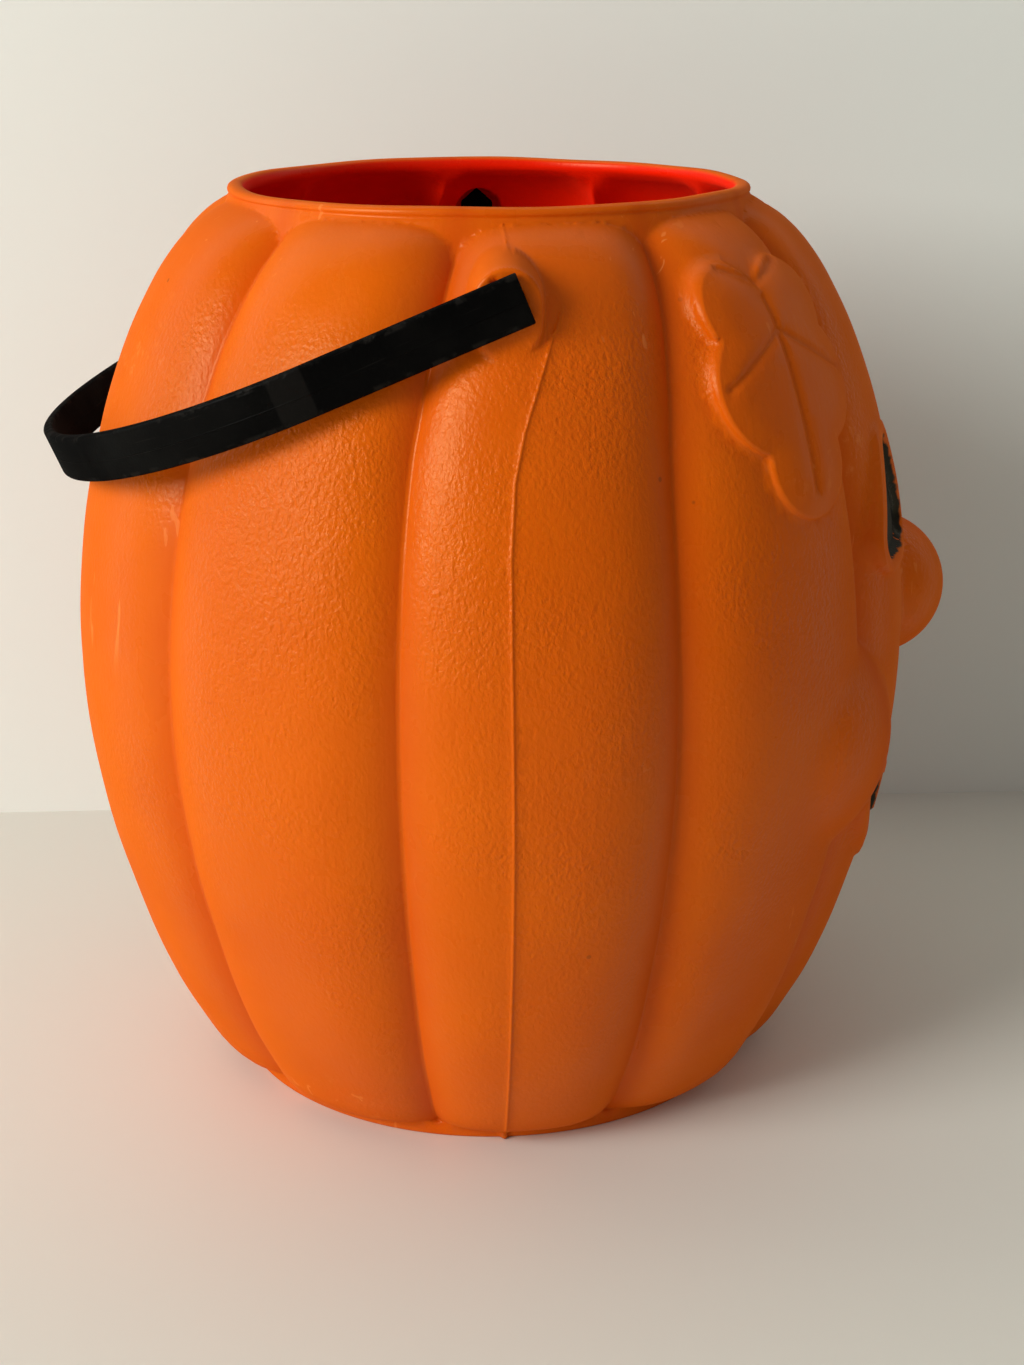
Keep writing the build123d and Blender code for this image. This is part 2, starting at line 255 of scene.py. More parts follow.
HEAD_EDGE_STEPS, HEAD_EDGE_ROUND = 3, 0.6

# Parting line of the mould: it skirts the boss on its face side and ends in a nub of flash at the foot
SEAM_REACH = 16.0
SEAM_HEIGHT = 0.42
SEAM_WIDTH = 0.27
SEAM_GAPS = (0.0001, SEAM_WIDTH, -SEAM_WIDTH, 0.7, -0.7)
SEAM_SKIRT_RADIUS = 12.0
SEAM_SKIRT_START, SEAM_SKIRT_END, SEAM_SKIRT_STEPS = -14.0, -34.0, 6
SEAM_SPACING = 1.4
SEAM_SPAN = (FIRST_ROW + 0.5, LAST_ROW - 0.2)
SEAM_OVER = [(0.0, LAST_ROW - 0.5), (0.8, 221.8)]
SEAM_TAIL = [(3.2, 186.0), (1.0, 176.0), (0.0, 160.0), (0.0, 100.0), (0.0, 4.5)]
FLASH_HEIGHT = 1.3
FLASH_HALF_ANGLE = 0.5
FLASH_INSIDE = FOOT_RADIUS - 1.0
FLASH_COLUMNS = {89.1, 91.05}


# Node helpers

def fill(node, inputs):
    """Links or sets a node's inputs by name or place."""
    for name, value in inputs.items():
        if isinstance(value, bpy.types.NodeSocket):
            node.id_data.links.new(value, node.inputs[name])
        else:
            node.inputs[name].default_value = value


def put(tree, kind, inputs=None, **settings):
    """Adds a node, sets its properties and fills its inputs."""
    node = tree.nodes.new(kind)
    for name, value in settings.items():
        setattr(node, name, value)
    fill(node, inputs or {})
    return node


def maths(operation, *values, clamp=False):
    """A math node's result, in the tree of its first linked value."""
    tree = next(value.id_data for value in values if isinstance(value, bpy.types.NodeSocket))
    inputs = dict(enumerate(values))
    return put(tree, "ShaderNodeMath", inputs, operation=operation, use_clamp=clamp).outputs[0]


def times(first, second):
    """The product of two values."""
    return maths("MULTIPLY", first, second)


def plus(first, second, clamp=False):
    """The sum of two values."""
    return maths("ADD", first, second, clamp=clamp)


def minus(first, second):
    """The difference of two values."""
    return maths("SUBTRACT", first, second)


def vector(tree, x=0.0, y=0.0, z=0.0):
    """A vector from its parts."""
    return put(tree, "ShaderNodeCombineXYZ", {0: x, 1: y, 2: z}).outputs[0]


def stored(tree, geometry, name, value):
    """Geometry that keeps a value at its points under a name."""
    inputs = {"Geometry": geometry, "Name": name, "Value": value}
    node = put(tree, "GeometryNodeStoreNamedAttribute", inputs, data_type="FLOAT", domain="POINT")
    return node.outputs[0]


def dressed(tree, geometry, material):
    """Geometry made real, with its material."""
    real = put(tree, "GeometryNodeRealizeInstances", {"Geometry": geometry}).outputs[0]
    return put(tree, "GeometryNodeSetMaterial", {"Geometry": real, "Material": material}).outputs[0]


def share_curve(tree, value, points):
    """A smooth curve through points, read at a value from 0 to 1."""
    node = put(tree, "ShaderNodeFloatCurve", {"Value": value})
    curve = node.mapping.curves[0]
    while len(curve.points) < len(points):
        curve.points.new(0.5, 0.5)
    for knot, place in zip(curve.points, points):
        knot.location = place
    node.mapping.update()
    return node


def tree_with_inputs(name, sizes):
    """A geometry tree with one named input for each size, and its input and output nodes."""
    tree = bpy.data.node_groups.new(name, "GeometryNodeTree")
    tree.interface.new_socket("Geometry", in_out="OUTPUT", socket_type="NodeSocketGeometry")
    tree.interface.new_socket("Geometry", in_out="INPUT", socket_type="NodeSocketGeometry")
    for size in sizes:
        tree.interface.new_socket(size, in_out="INPUT", socket_type="NodeSocketFloat")
    tree.interface.new_socket("Material", in_out="INPUT", socket_type="NodeSocketMaterial")
    return tree, put(tree, "NodeGroupInput").outputs, put(tree, "NodeGroupOutput").inputs


def grown_mesh(name, mesh, tree, values, bevel=0.0):
    """Runs a geometry tree on a mesh and keeps the result as a plain mesh object."""
    piece = bpy.data.objects.new(name, mesh)
    bpy.context.scene.collection.objects.link(piece)
    modifier = piece.modifiers.new("tree", "NODES")
    modifier.node_group = tree
    for socket in tree.interface.items_tree:
        if socket.in_out == "INPUT" and socket.name in values:
            modifier[socket.identifier] = values[socket.name]
    if bevel:
        edge = piece.modifiers.new("edge", "BEVEL")
        edge.width = bevel
        edge.segments = BEVEL_STEPS
        edge.limit_method = "ANGLE"
        edge.angle_limit = radians(BEVEL_ANGLE)
    bpy.context.view_layer.update()
    depsgraph = bpy.context.evaluated_depsgraph_get()
    result = bpy.data.meshes.new_from_object(piece.evaluated_get(depsgraph), depsgraph=depsgraph)
    piece.modifiers.clear()
    piece.data = result
    result.name = name
    return piece


# Outlines and distances, in millimetres on the flat

def arc_through(start, middle, end, steps):
    """Points on the circle through three points, from the first to just before the last."""
    (ax, ay), (bx, by), (cx, cy) = start, middle, end
    turn = 2 * (ax * (by - cy) + bx * (cy - ay) + cx * (ay - by))
    sums = [x * x + y * y for x, y in (start, middle, end)]
    ox = (sums[0] * (by - cy) + sums[1] * (cy - ay) + sums[2] * (ay - by)) / turn
    oy = (sums[0] * (cx - bx) + sums[1] * (ax - cx) + sums[2] * (bx - ax)) / turn
    angles = np.unwrap([np.arctan2(y - oy, x - ox) for x, y in (start, middle, end)])
    radius = np.hypot(ax - ox, ay - oy)
    sweep = np.linspace(angles[0], angles[2], steps, endpoint=False)
    return [(ox + radius * cos(angle), oy + radius * sin(angle)) for angle in sweep]


def subdivided(points, spacing, closed=True):
    """A polyline with extra points, so that none are further apart than a spacing."""
    ends = points[1:] + points[:1] if closed else points[1:]
    made = []
    for start, end in zip(points, ends):
        steps = max(1, int(np.ceil(np.hypot(end[0] - start[0], end[1] - start[1]) / spacing)))
        for step in range(steps):
            share = step / steps
            made.append((start[0] + (end[0] - start[0]) * share, start[1] + (end[1] - start[1]) * share))
    return np.array(made if closed else made + [points[-1]])


def line_distance(places, line, closed):
    """The distance of each place from a polyline."""
    starts = line if closed else line[:-1]
    ends = np.roll(line, -1, axis=0) if closed else line[1:]
    nearest = np.full(len(places), 1e9)
    for start, end in zip(starts, ends):
        along = end - start
        way = np.clip(((places - start) @ along) / max(along @ along, 1e-12), 0.0, 1.0)
        nearest = np.minimum(nearest, np.hypot(*(places - start - way[:, None] * along).T))
    return nearest


def outline_distance(places, outline):
    """The distance of each place from a closed outline, negative inside it."""
    x, y = places.T
    inside = np.zeros(len(places), bool)
    for (ax, ay), (bx, by) in zip(outline, np.roll(outline, -1, axis=0)):
        if ay != by:
            inside ^= ((ay > y) != (by > y)) & (x < (bx - ax) * (y - ay) / (by - ay) + ax)
    return line_distance(places, outline, True) * np.where(inside, -1.0, 1.0)


def beside(line, offset, closed):
    """Points at an offset beside a polyline, without those that come too near another stretch of it."""
    before = np.roll(line, 1, axis=0)
    after = np.roll(line, -1, axis=0)
    if not closed:
        before[0], after[-1] = line[0], line[-1]
    along = after - before
    normals = np.stack([along[:, 1], -along[:, 0]], axis=1) / np.hypot(*along.T)[:, None]
    places = line + normals * offset
    return places[line_distance(places, line, closed) > abs(offset) * BESIDE_SHARE]


def eased(value, start, end):
    """A smooth step from 0 at start to 1 at end."""
    way = np.clip((value - start) / (end - start), 0.0, 1.0)
    return way * way * (3.0 - 2.0 * way)


def eye_outline():
    """A rounded triangle, point up."""
    low = EYE_HEIGHT - EYE_TALL / 2
    corners = [np.array(c) for c in ((-EYE_WIDTH / 2, low), (EYE_WIDTH / 2, low), (0.0, low + EYE_TALL))]
    points = []
    for k, corner in enumerate(corners):
        back = (corners[k - 1] - corner) / np.linalg.norm(corners[k - 1] - corner)
        ahead = (corners[(k + 1) % 3] - corner) / np.linalg.norm(corners[(k + 1) % 3] - corner)
        half = np.arccos(np.clip(back @ ahead, -1, 1)) / 2
        inward = (back + ahead) / np.linalg.norm(back + ahead)
        middle = corner + inward * (EYE_CORNER / np.sin(half) - EYE_CORNER)
        run = EYE_CORNER / np.tan(half)
        points += arc_through(corner + back * run, middle, corner + ahead * run, CORNER_STEPS)
        points.append(tuple(corner + ahead * run))
    return subdivided([tuple(point) for point in points], FACE_SPACING)


def mouth_outline(teeth):
    """A crescent with its corners up, with or without the teeth's notches."""
    left, right = (-MOUTH_HALF_WIDTH, MOUTH_CORNER_HEIGHT), (MOUTH_HALF_WIDTH, MOUTH_CORNER_HEIGHT)
    lower = arc_through(left, (0.0, MOUTH_BOTTOM_HEIGHT), right, LIP_STEPS)
    upper = arc_through(right, (0.0, MOUTH_TOP_HEIGHT), left, LIP_STEPS)
    if teeth:
        lower = notched(lower, 0.0, MOUTH_BOTTOM_HEIGHT + TOOTH_DROP)
        upper = notched(upper, TOOTH_OFFSET, MOUTH_TOP_HEIGHT - TOOTH_DROP)
        upper = notched(upper, -TOOTH_OFFSET, MOUTH_TOP_HEIGHT - TOOTH_DROP)
    return subdivided(lower + upper, FACE_SPACING)


def notched(line, middle, height):
    """A lip's line with a square tooth cut into it, out to a height."""
    ahead = 1.0 if line[-1][0] > line[0][0] else -1.0
    edges = [middle - ahead * TOOTH_WIDTH / 2, middle + ahead * TOOTH_WIDTH / 2]
    order = sorted(line)
    levels = [float(np.interp(edge, [p[0] for p in order], [p[1] for p in order])) for edge in edges]
    tooth = [(edges[0], levels[0]), (edges[0], height), (edges[1], height), (edges[1], levels[1])]
    before = [p for p in line if (p[0] - edges[0]) * ahead < 0]
    after = [p for p in line if (p[0] - edges[1]) * ahead > 0]
    return before + tooth + after


def leaf_place(shares, side=1):
    """A point of the leaf from its shares."""
    return (side * shares[0] * LEAF_HALF_WIDTH, LEAF_TOP - shares[1] * LEAF_LENGTH)


def leaf_outline():
    """Five lobes, one arc each, hanging from the stalk."""
    stalk, tip = leaf_place(LEAF_STALK_SHARE), leaf_place(LEAF_TIP_SHARE)
    shoulder_tip, shoulder_notch = [leaf_place(shares) for shares in LEAF_SHOULDER_SHARES]
    side_tip, side_notch = [leaf_place(shares) for shares in LEAF_SIDE_SHARES]
    mirrored = [(-x, y) for x, y in (side_notch, side_tip, shoulder_notch, shoulder_tip)]
    arcs = [
        (stalk, shoulder_tip, shoulder_notch),
        (shoulder_notch, side_tip, side_notch),
        (side_notch, tip, mirrored[0]),
        (mirrored[0], mirrored[1], mirrored[2]),
        (mirrored[2], mirrored[3], stalk),
    ]
    return subdivided([point for arc in arcs for point in arc_through(*arc, LOBE_STEPS)], LEAF_SPACING)


def leaf_veins():
    """The midrib and a side vein to each lobe, from the stalk."""
    stalk = np.array(leaf_place(LEAF_STALK_SHARE)) - (0.0, VEIN_START)
    tips = [LEAF_TIP_SHARE] + LEAF_SHOULDER_SHARES[:1] + LEAF_SIDE_SHARES[:1]
    veins = []
    for share in tips:
        for side in (1, -1) if share[0] else (1,):
            tip = np.array(leaf_place(share, side))
            root = stalk + (np.array([0.0, tip[1]]) - stalk) * (0.0, VEIN_ROOT_SHARE)
            root = root if share[0] else stalk
            end = root + (tip - root) * VEIN_LENGTH_SHARE
            veins.append(subdivided([tuple(root), tuple(end)], LEAF_SPACING, closed=False))
    return veins


def seam_lines():
    """The parting line on one side, over and under the boss, as distances towards the face and heights."""
    sweep = np.radians(np.linspace(SEAM_SKIRT_START, SEAM_SKIRT_END, SEAM_SKIRT_STEPS))
    skirt = [(SEAM_SKIRT_RADIUS * cos(a), PIVOT_HEIGHT + SEAM_SKIRT_RADIUS * sin(a)) for a in sweep]
    return [subdivided(line, SEAM_SPACING, closed=False) for line in (SEAM_OVER, skirt + SEAM_TAIL)]


def hole_outline():
    """The peg's hole with its slit, as distances towards the back and heights over the pivot."""
    slit = radians(SLIT_ANGLE)
    gap = np.arcsin(SLIT_HALF_WIDTH / HOLE_RADIUS)
    sweep = np.linspace(slit + gap, slit + 2 * pi - gap, HOLE_POINTS)
    points = [(HOLE_RADIUS * cos(angle), HOLE_RADIUS * sin(angle)) for angle in sweep]
    way, across = np.array([cos(slit), sin(slit)]), np.array([-sin(slit), cos(slit)])
    near = [tuple(way * SLIT_REACH - across * SLIT_HALF_WIDTH), tuple(way * (SLIT_REACH + SLIT_ROUND))]
    far = [tuple(way * SLIT_REACH + across * SLIT_HALF_WIDTH)]
    return subdivided(points + near + far, HOLE_SPACING)


# Profile of the ribbed body, shared by the shell's tree and by what is moulded on it

def height_table(points):
    """A fine table of a share curve over the height, read from the same curve that the shell's tree uses."""
    scratch = bpy.data.node_groups.new("profile", "GeometryNodeTree")
    node = share_curve(scratch, 0.0, points)
    node.mapping.initialize()
    shares = np.linspace(0.0, 1.0, TABLE_STEPS)
    values = np.array([node.mapping.evaluate(node.mapping.curves[0], share) for share in shares])
    bpy.data.node_groups.remove(scratch)
    return shares * RIM_HEIGHT, values


CROWN_TABLE = height_table(CROWN_SHARES)
LEAN_TABLE = height_table(LEAN_SHARES)
GROOVE_TABLE = height_table(GROOVE_SHARES)


def crown(level):
    """The crowns' distance from the axis at a height."""
    return np.interp(level, *CROWN_TABLE) * BELLY_RADIUS


def leaned(azimuth, level):
    """Where places that are given along the upright ribs lie once the grooves lean towards the face."""
    turn = np.radians(np.abs(azimuth))
    lean = LEAN_ANGLE * np.interp(level, *LEAN_TABLE)
    return azimuth - np.sign(azimuth) * lean * np.sin(turn) * np.cos(turn / 2)


def along_ribs(places):
    """Places given along the upright ribs that lean to the given places, found by repeated steps."""
    azimuth, level = places.T
    start = azimuth
    for _ in range(LEAN_STEPS):
        start = start + azimuth - leaned(start, level)
    return np.stack([start, level], axis=1)


def across(azimuth, level, middle):
    """The distance along the surface's tangent from a feature's middle azimuth."""
    return crown(level) * np.sin(np.radians(np.clip(azimuth - middle, -90.0, 90.0)))


def around(places, middle):
    """Azimuths and heights of places that are drawn on the flat and pushed out at a middle azimuth."""
    x, level = places.T
    return np.stack([middle + np.degrees(np.arcsin(x / crown(level))), level], axis=1)


def hinge_places(places, side):
    """Azimuths and heights of places on the boss, from distances to the back and heights over the pivot."""
    back, rise = places.T
    azimuth = side * (90.0 + np.degrees(np.arctan(back / BOSS_FACE)))
    return np.stack([azimuth, PIVOT_HEIGHT + rise], axis=1)


def hinge_distance(azimuth, level, side, tail=0.0):
    """The distance on the boss's face from the hinge, or from a tail hung from it, and the turn from it."""
    turn = np.radians(np.clip(side * azimuth - 90.0, -BOSS_SPAN_ANGLE, BOSS_SPAN_ANGLE))
    rise = np.maximum(level - PIVOT_HEIGHT, 0.0) + np.minimum(level - PIVOT_HEIGHT + tail, 0.0)
    return np.hypot(BOSS_FACE * np.tan(turn), rise), turn


def ring_places(radii, count):
    """Points on rings round a middle, each ring turned by half a step from the last."""
    made = []
    for k, radius in enumerate(radii):
        sweep = (np.arange(count) + 0.5 * (k % 2)) * 2 * pi / count
        made.append(np.stack([radius * np.cos(sweep), radius * np.sin(sweep)], axis=1))
    return np.concatenate(made)


def bulge_radius(azimuth, level, middle, height, radius, proud):
    """How far out a ball's surface lies at an azimuth and a height, or 0 beside it."""
    out = float(crown(height)) + proud - radius
    turn = np.radians(azimuth - middle)
    left = radius**2 - (level - height) ** 2 - (out * np.sin(turn)) ** 2
    return np.where((left > 0) & (np.abs(turn) < 1), out * np.cos(turn) + np.sqrt(np.maximum(left, 0)), 0.0)


EYE = eye_outline()
MOUTH = mouth_outline(False)
TOOTHED_MOUTH = mouth_outline(True)
LEAF = leaf_outline()
VEINS = leaf_veins()
SEAMS = seam_lines()
HOLE = hole_outline()
PADS = [(EYE_AZIMUTH, EYE, EYE), (-EYE_AZIMUTH, EYE, EYE), (0.0, MOUTH, TOOTHED_MOUTH)]
BULGES = [
    (0.0, NOSE_HEIGHT, NOSE_RADIUS, NOSE_PROUD),
    (CHEEK_AZIMUTH, CHEEK_HEIGHT, CHEEK_RADIUS, CHEEK_PROUD),
    (-CHEEK_AZIMUTH, CHEEK_HEIGHT, CHEEK_RADIUS, CHEEK_PROUD),
]


# Shell: fields over azimuth and height, which the tree turns into the ribbed form

UNPAINTED = 50.0


class Skin:
    """Points of the shell as fields over azimuth and height, and the faces between them."""

    defaults = {
        "inset": 0.0, "draw_in": 1.0, "flat_radius": 0.0, "flat_weight": 0.0, "bulge_radius": 0.0,
        "ridge": 0.0, "paint": UNPAINTED, "inside": 0.0,
    }

    def __init__(self):
        self.count = 0
        self.parts = {name: [] for name in ("azimuth", "level", *self.defaults)}
        self.faces = []

    def add(self, azimuth, level, **fields):
        """Adds points and gives their numbers."""
        size = len(azimuth)
        values = {**self.defaults, **fields, "azimuth": azimuth, "level": level}
        for name, value in values.items():
            self.parts[name].append(np.broadcast_to(np.asarray(value, float), (size,)))
        self.count += size
        return np.arange(self.count - size, self.count)

    def band(self, low, high):
        """Joins two closed rings of points with quads."""
        for k in range(len(low)):
            self.faces.append((low[k - 1], low[k], high[k], high[k - 1]))

    def cap(self, ring, level, **fields):
        """Closes a ring with a fan to a point on the axis."""
        middle = self.add([0.0], [level], draw_in=0.0, **fields)[0]
        for k in range(len(ring)):
            self.faces.append((ring[k - 1], ring[k], middle))

    def mesh(self, name):
        """A mesh that carries the fields as attributes, with lengths in metres."""
        made = bpy.data.meshes.new(name)
        made.from_pydata([(0.0, 0.0, 0.0)] * self.count, [], [tuple(map(int, face)) for face in self.faces])
        for field, parts in self.parts.items():
            values = np.concatenate(parts)
            if field == "azimuth":
                values = np.radians(values)
            elif field in ("level", "inset", "flat_radius", "bulge_radius", "ridge"):
                values = values * MM
            made.attributes.new(field, "FLOAT", "POINT").data.foreach_set("value", values.astype(np.float32))
        return made


GROOVES = [0.0] + [FRONT_RIB_ANGLE + RIB_ANGLE * k for k in range(SIDE_RIBS + 1)] + [180.0]


def column_azimuths():
    """Azimuths of the columns: closer together at the grooves, and the same on both sides."""
    ways = np.linspace(0.0, 1.0, HALF_RIB_COLUMNS + 1)
    ways = (1.0 - COLUMN_CROWDING) * ways + COLUMN_CROWDING * np.sin(ways * pi / 2)
    right = set(FLASH_COLUMNS)
    for start, end in zip(GROOVES, GROOVES[1:]):
        top = (start + end) / 2
        right |= {round(top + (groove - top) * way, 6) for groove in (start, end) for way in ways}
        right |= {start + GROOVE_COLUMN, end - GROOVE_COLUMN}
    return np.array(sorted({-a for a in right if 0 < a < 180} | right | {-180.0}))


COLUMNS = column_azimuths()


def rib_tops():
    """Where the ribs' tops dip under the collar, as azimuths along the upright ribs and heights."""
    azimuths = np.arange(-179.0, 180.0, TOP_STEP)
    levels = np.linspace(COLLAR_LOWEST, LAST_ROW, TOP_STEPS)
    valley = np.abs(2.0 * (np.interp(np.abs(azimuths), GROOVES, np.arange(len(GROOVES))) % 1.0) - 1.0)
    depth = np.interp(levels, *GROOVE_TABLE) * GROOVE_DEPTH
    collar = COLLAR_RADIUS + COLLAR_SLOPE * (RIM_HEIGHT - levels)
    over = crown(levels) - np.outer(valley**CROWN_FULLNESS, depth) - collar
    last = len(levels) - 1 - np.argmax(over[:, ::-1] > 0, axis=1)
    return np.stack([azimuths, levels[last]], axis=1)


RIB_TOPS = rib_tops()


def laid_out(rows, lines, loose, keep):
    """Triangles over a grid of columns and rows, with lines kept as edges and loose points among them."""
    lines = [(along_ribs(line), closed) for line, closed in lines]
    loose = [along_ribs(places) for places in loose]
    grid = np.array([(azimuth, level) for level in rows for azimuth in COLUMNS])
    border = (np.abs(grid[:, 0]) == 180.0) | (grid[:, 1] == rows[0]) | (grid[:, 1] == rows[-1])
    marks = [line for line, _ in lines] + loose
    tree = KDTree(sum(map(len, marks)))
    for k, (azimuth, level) in enumerate(np.concatenate(marks)):
        tree.insert((azimuth * DEGREE_WIDTH, level, 0.0), k)
    tree.balance()
    gaps = np.array([tree.find((azimuth * DEGREE_WIDTH, level, 0.0))[2] for azimuth, level in grid])
    grid = grid[border | ((gaps > LINE_GAP) & keep(leaned(*grid.T), grid[:, 1]))]
    points, edges = [tuple(place) for place in grid], []
    line_starts = []
    for line, closed in lines:
        first = len(points)
        line_starts.append(first)
        points += [tuple(place) for place in line]
        edges += [(k, k + 1) for k in range(first, len(points) - 1)]
        if closed:
            edges.append((len(points) - 1, first))
    for places in loose:
        points += [tuple(place) for place in places]
    flat = [Vector((azimuth * DEGREE_WIDTH, level)) for azimuth, level in points]
    places, _, faces, sources, _, _ = delaunay_2d_cdt(flat, edges, [], 0, MERGE_GAP, True)
    places = np.array(places) / (DEGREE_WIDTH, 1.0)
    found = {source: k for k, group in enumerate(sources) for source in group}
    line_points = []
    for first, (line, _) in zip(line_starts, lines):
        line_points.append([found[first + k] for k in range(len(line))])
    return places, faces, line_points


def sheet(skin, rows, lines, loose, keep, holes, fields):
    """Adds a sheet to the skin, closed at the back. Gives its lowest, highest and hole rings."""
    places, faces, line_points = laid_out(rows, lines, loose, keep)
    azimuth, level = places.T
    numbers = skin.add(azimuth, level, **fields(leaned(azimuth, level), level))
    left = {round(level[k], ROW_DIGITS): k for k in np.flatnonzero(azimuth < -BACK_EDGE)}
    welded = np.arange(len(places))
    for k in np.flatnonzero(azimuth > BACK_EDGE):
        welded[k] = left[round(level[k], ROW_DIGITS)]
    for face in faces:
        middle = places[list(face)].mean(axis=0)[None]
        outlines = [places[line_points[hole]] for hole in near_holes(holes, middle)]
        if not any(outline_distance(middle, outline)[0] < 0 for outline in outlines):
            skin.faces.append(tuple(numbers[welded[list(face)]]))

    def ring(row):
        chosen = np.flatnonzero((np.abs(level - row) < ROW_SLACK) & (azimuth < BACK_EDGE))
        return numbers[chosen[np.argsort(azimuth[chosen])]]

    return ring(rows[0]), ring(rows[-1]), [numbers[line_points[hole]] for hole in holes]


def near_holes(holes, middle):
    """The holes that a face's middle may lie in."""
    azimuth, level = leaned(*middle.T)[0], middle[0, 1]
    near = abs(abs(azimuth) - 90.0) < HOLE_SPAN_ANGLE and abs(level - PIVOT_HEIGHT) < HOLE_SPAN
    return [hole for hole in holes if near and (hole == holes[0]) == (azimuth > 0)]


def outer_fields(azimuth, level):
    """What is moulded on the outside: pads, painted floors, leaves, bosses, balls and the parting line."""
    flat_radius = np.zeros(len(azimuth))
    flat_weight = np.zeros(len(azimuth))
    paint = np.full(len(azimuth), UNPAINTED)
    ridge = np.zeros(len(azimuth))
    bumps = np.max([bulge_radius(azimuth, level, *ball) for ball in BULGES], axis=0)
    for middle, outline, floor in PADS:
        near = np.flatnonzero(np.abs(azimuth - middle) < FACE_REACH)
        places = np.stack([across(azimuth[near], level[near], middle), level[near]], axis=1)
        border = outline_distance(places, outline) - PAD_BORDER
        sunk = outline_distance(places, floor)
        weight = eased(border, *PAD_SLOPE)
        rise = PAD_PROUD - PAD_ROUND * eased(border, *PAD_ROUND_SLOPE)
        rise -= (PAD_PROUD + FLOOR_SUNK) * eased(sunk, *FLOOR_SLOPE)
        stronger = weight > flat_weight[near]
        flat_radius[near[stronger]] = (crown(level[near]) + rise)[stronger]
        flat_weight[near[stronger]] = weight[stronger]
        paint[near] = np.minimum(paint[near], sunk)
    for side in (1, -1):
        near = np.flatnonzero(np.abs(azimuth - side * LEAF_AZIMUTH) < LEAF_REACH)
        places = np.stack([across(azimuth[near], level[near], side * LEAF_AZIMUTH), level[near]], axis=1)
        edge = outline_distance(places, LEAF)
        vein = np.min([line_distance(places, line, False) for line in VEINS], axis=0)
        weight = eased(edge, *LEAF_SLOPE)
        swell = LEAF_PROUD - LEAF_DOME * eased(edge, *LEAF_DOME_SLOPE)
        swell -= VEIN_DEPTH * np.exp(-((vein / VEIN_WIDTH) ** 2))
        flat_radius[near] = np.where(weight > 0, crown(level[near]) + swell, flat_radius[near])
        flat_weight[near] = np.maximum(weight, flat_weight[near])
        ridge[near] -= MOAT_DEPTH * np.exp(-(((edge - MOAT_MIDDLE) / MOAT_WIDTH) ** 2))
        reach, turn = hinge_distance(azimuth, level, side, BOSS_TAIL)
        near = np.flatnonzero((reach < BOSS_REACH) & (side * azimuth > BOSS_SIDE))
        face = BOSS_FACE - BOSS_FALL * np.maximum(reach[near] - BOSS_FLAT, 0.0) ** 2
        bumps[near] = np.maximum(bumps[near], face / np.cos(turn[near]))
        near = np.flatnonzero(np.abs(side * azimuth - 90.0) < SEAM_REACH)
        places = np.stack([-across(azimuth[near], level[near], side * 90.0) * side, level[near]], axis=1)
        gap = np.min([line_distance(places, seam, False) for seam in SEAMS], axis=0)
        ridge[near] += SEAM_HEIGHT * np.exp(-((gap / SEAM_WIDTH) ** 2))
    return {
        "flat_radius": flat_radius, "flat_weight": flat_weight, "paint": paint, "ridge": ridge,
        "bulge_radius": bumps,
    }


def inner_fields(azimuth, level):
    """What shows on the inside: the balls' and bosses' hollows."""
    flat_radius = np.zeros(len(azimuth))
    flat_weight = np.zeros(len(azimuth))
    for side in (1, -1):
        reach, turn = hinge_distance(azimuth, level, side)
        near = np.flatnonzero((reach < BOSS_REACH) & (side * azimuth > BOSS_SIDE))
        weight = eased(reach[near], *HOLLOW_SLOPE)
        flat_radius[near] = BOSS_FACE / np.cos(turn[near])
        flat_weight[near] = np.maximum(weight, flat_weight[near])
    hollows = [(*place, radius - HOLLOW_SLACK, proud - HOLLOW_SLACK) for *place, radius, proud in BULGES]
    balls = np.max([bulge_radius(azimuth, level, *hollow) for hollow in hollows], axis=0)
    return {
        "flat_radius": flat_radius, "flat_weight": flat_weight, "bulge_radius": balls, "inset": WALL,
        "inside": 1.0,
    }


def shell_rows():
    """Heights of the outer rows, closer together over the shoulder."""
    count = int((SHOULDER_HEIGHT - FIRST_ROW) / ROW_STEP)
    low = np.linspace(FIRST_ROW, SHOULDER_HEIGHT, count, endpoint=False)
    return np.concatenate([low, np.linspace(SHOULDER_HEIGHT, LAST_ROW, SHOULDER_ROWS)])


def rim_wave(azimuth):
    """The trimmed rim's unevenness: how far it falls short of its full height."""
    turn = np.radians(azimuth)
    return RIM_SHORT + sum(size * np.sin(count * turn + start) for size, count, start in RIM_WAVES)


def clear_of_hinges(azimuth, level, distance):
    """Whether places are further than a distance from both hinges."""
    far = np.ones(len(azimuth), bool)
    for side in (1, -1):
        far &= (hinge_distance(azimuth, level, side)[0] > distance) | (side * azimuth < BOSS_SIDE)
    return far


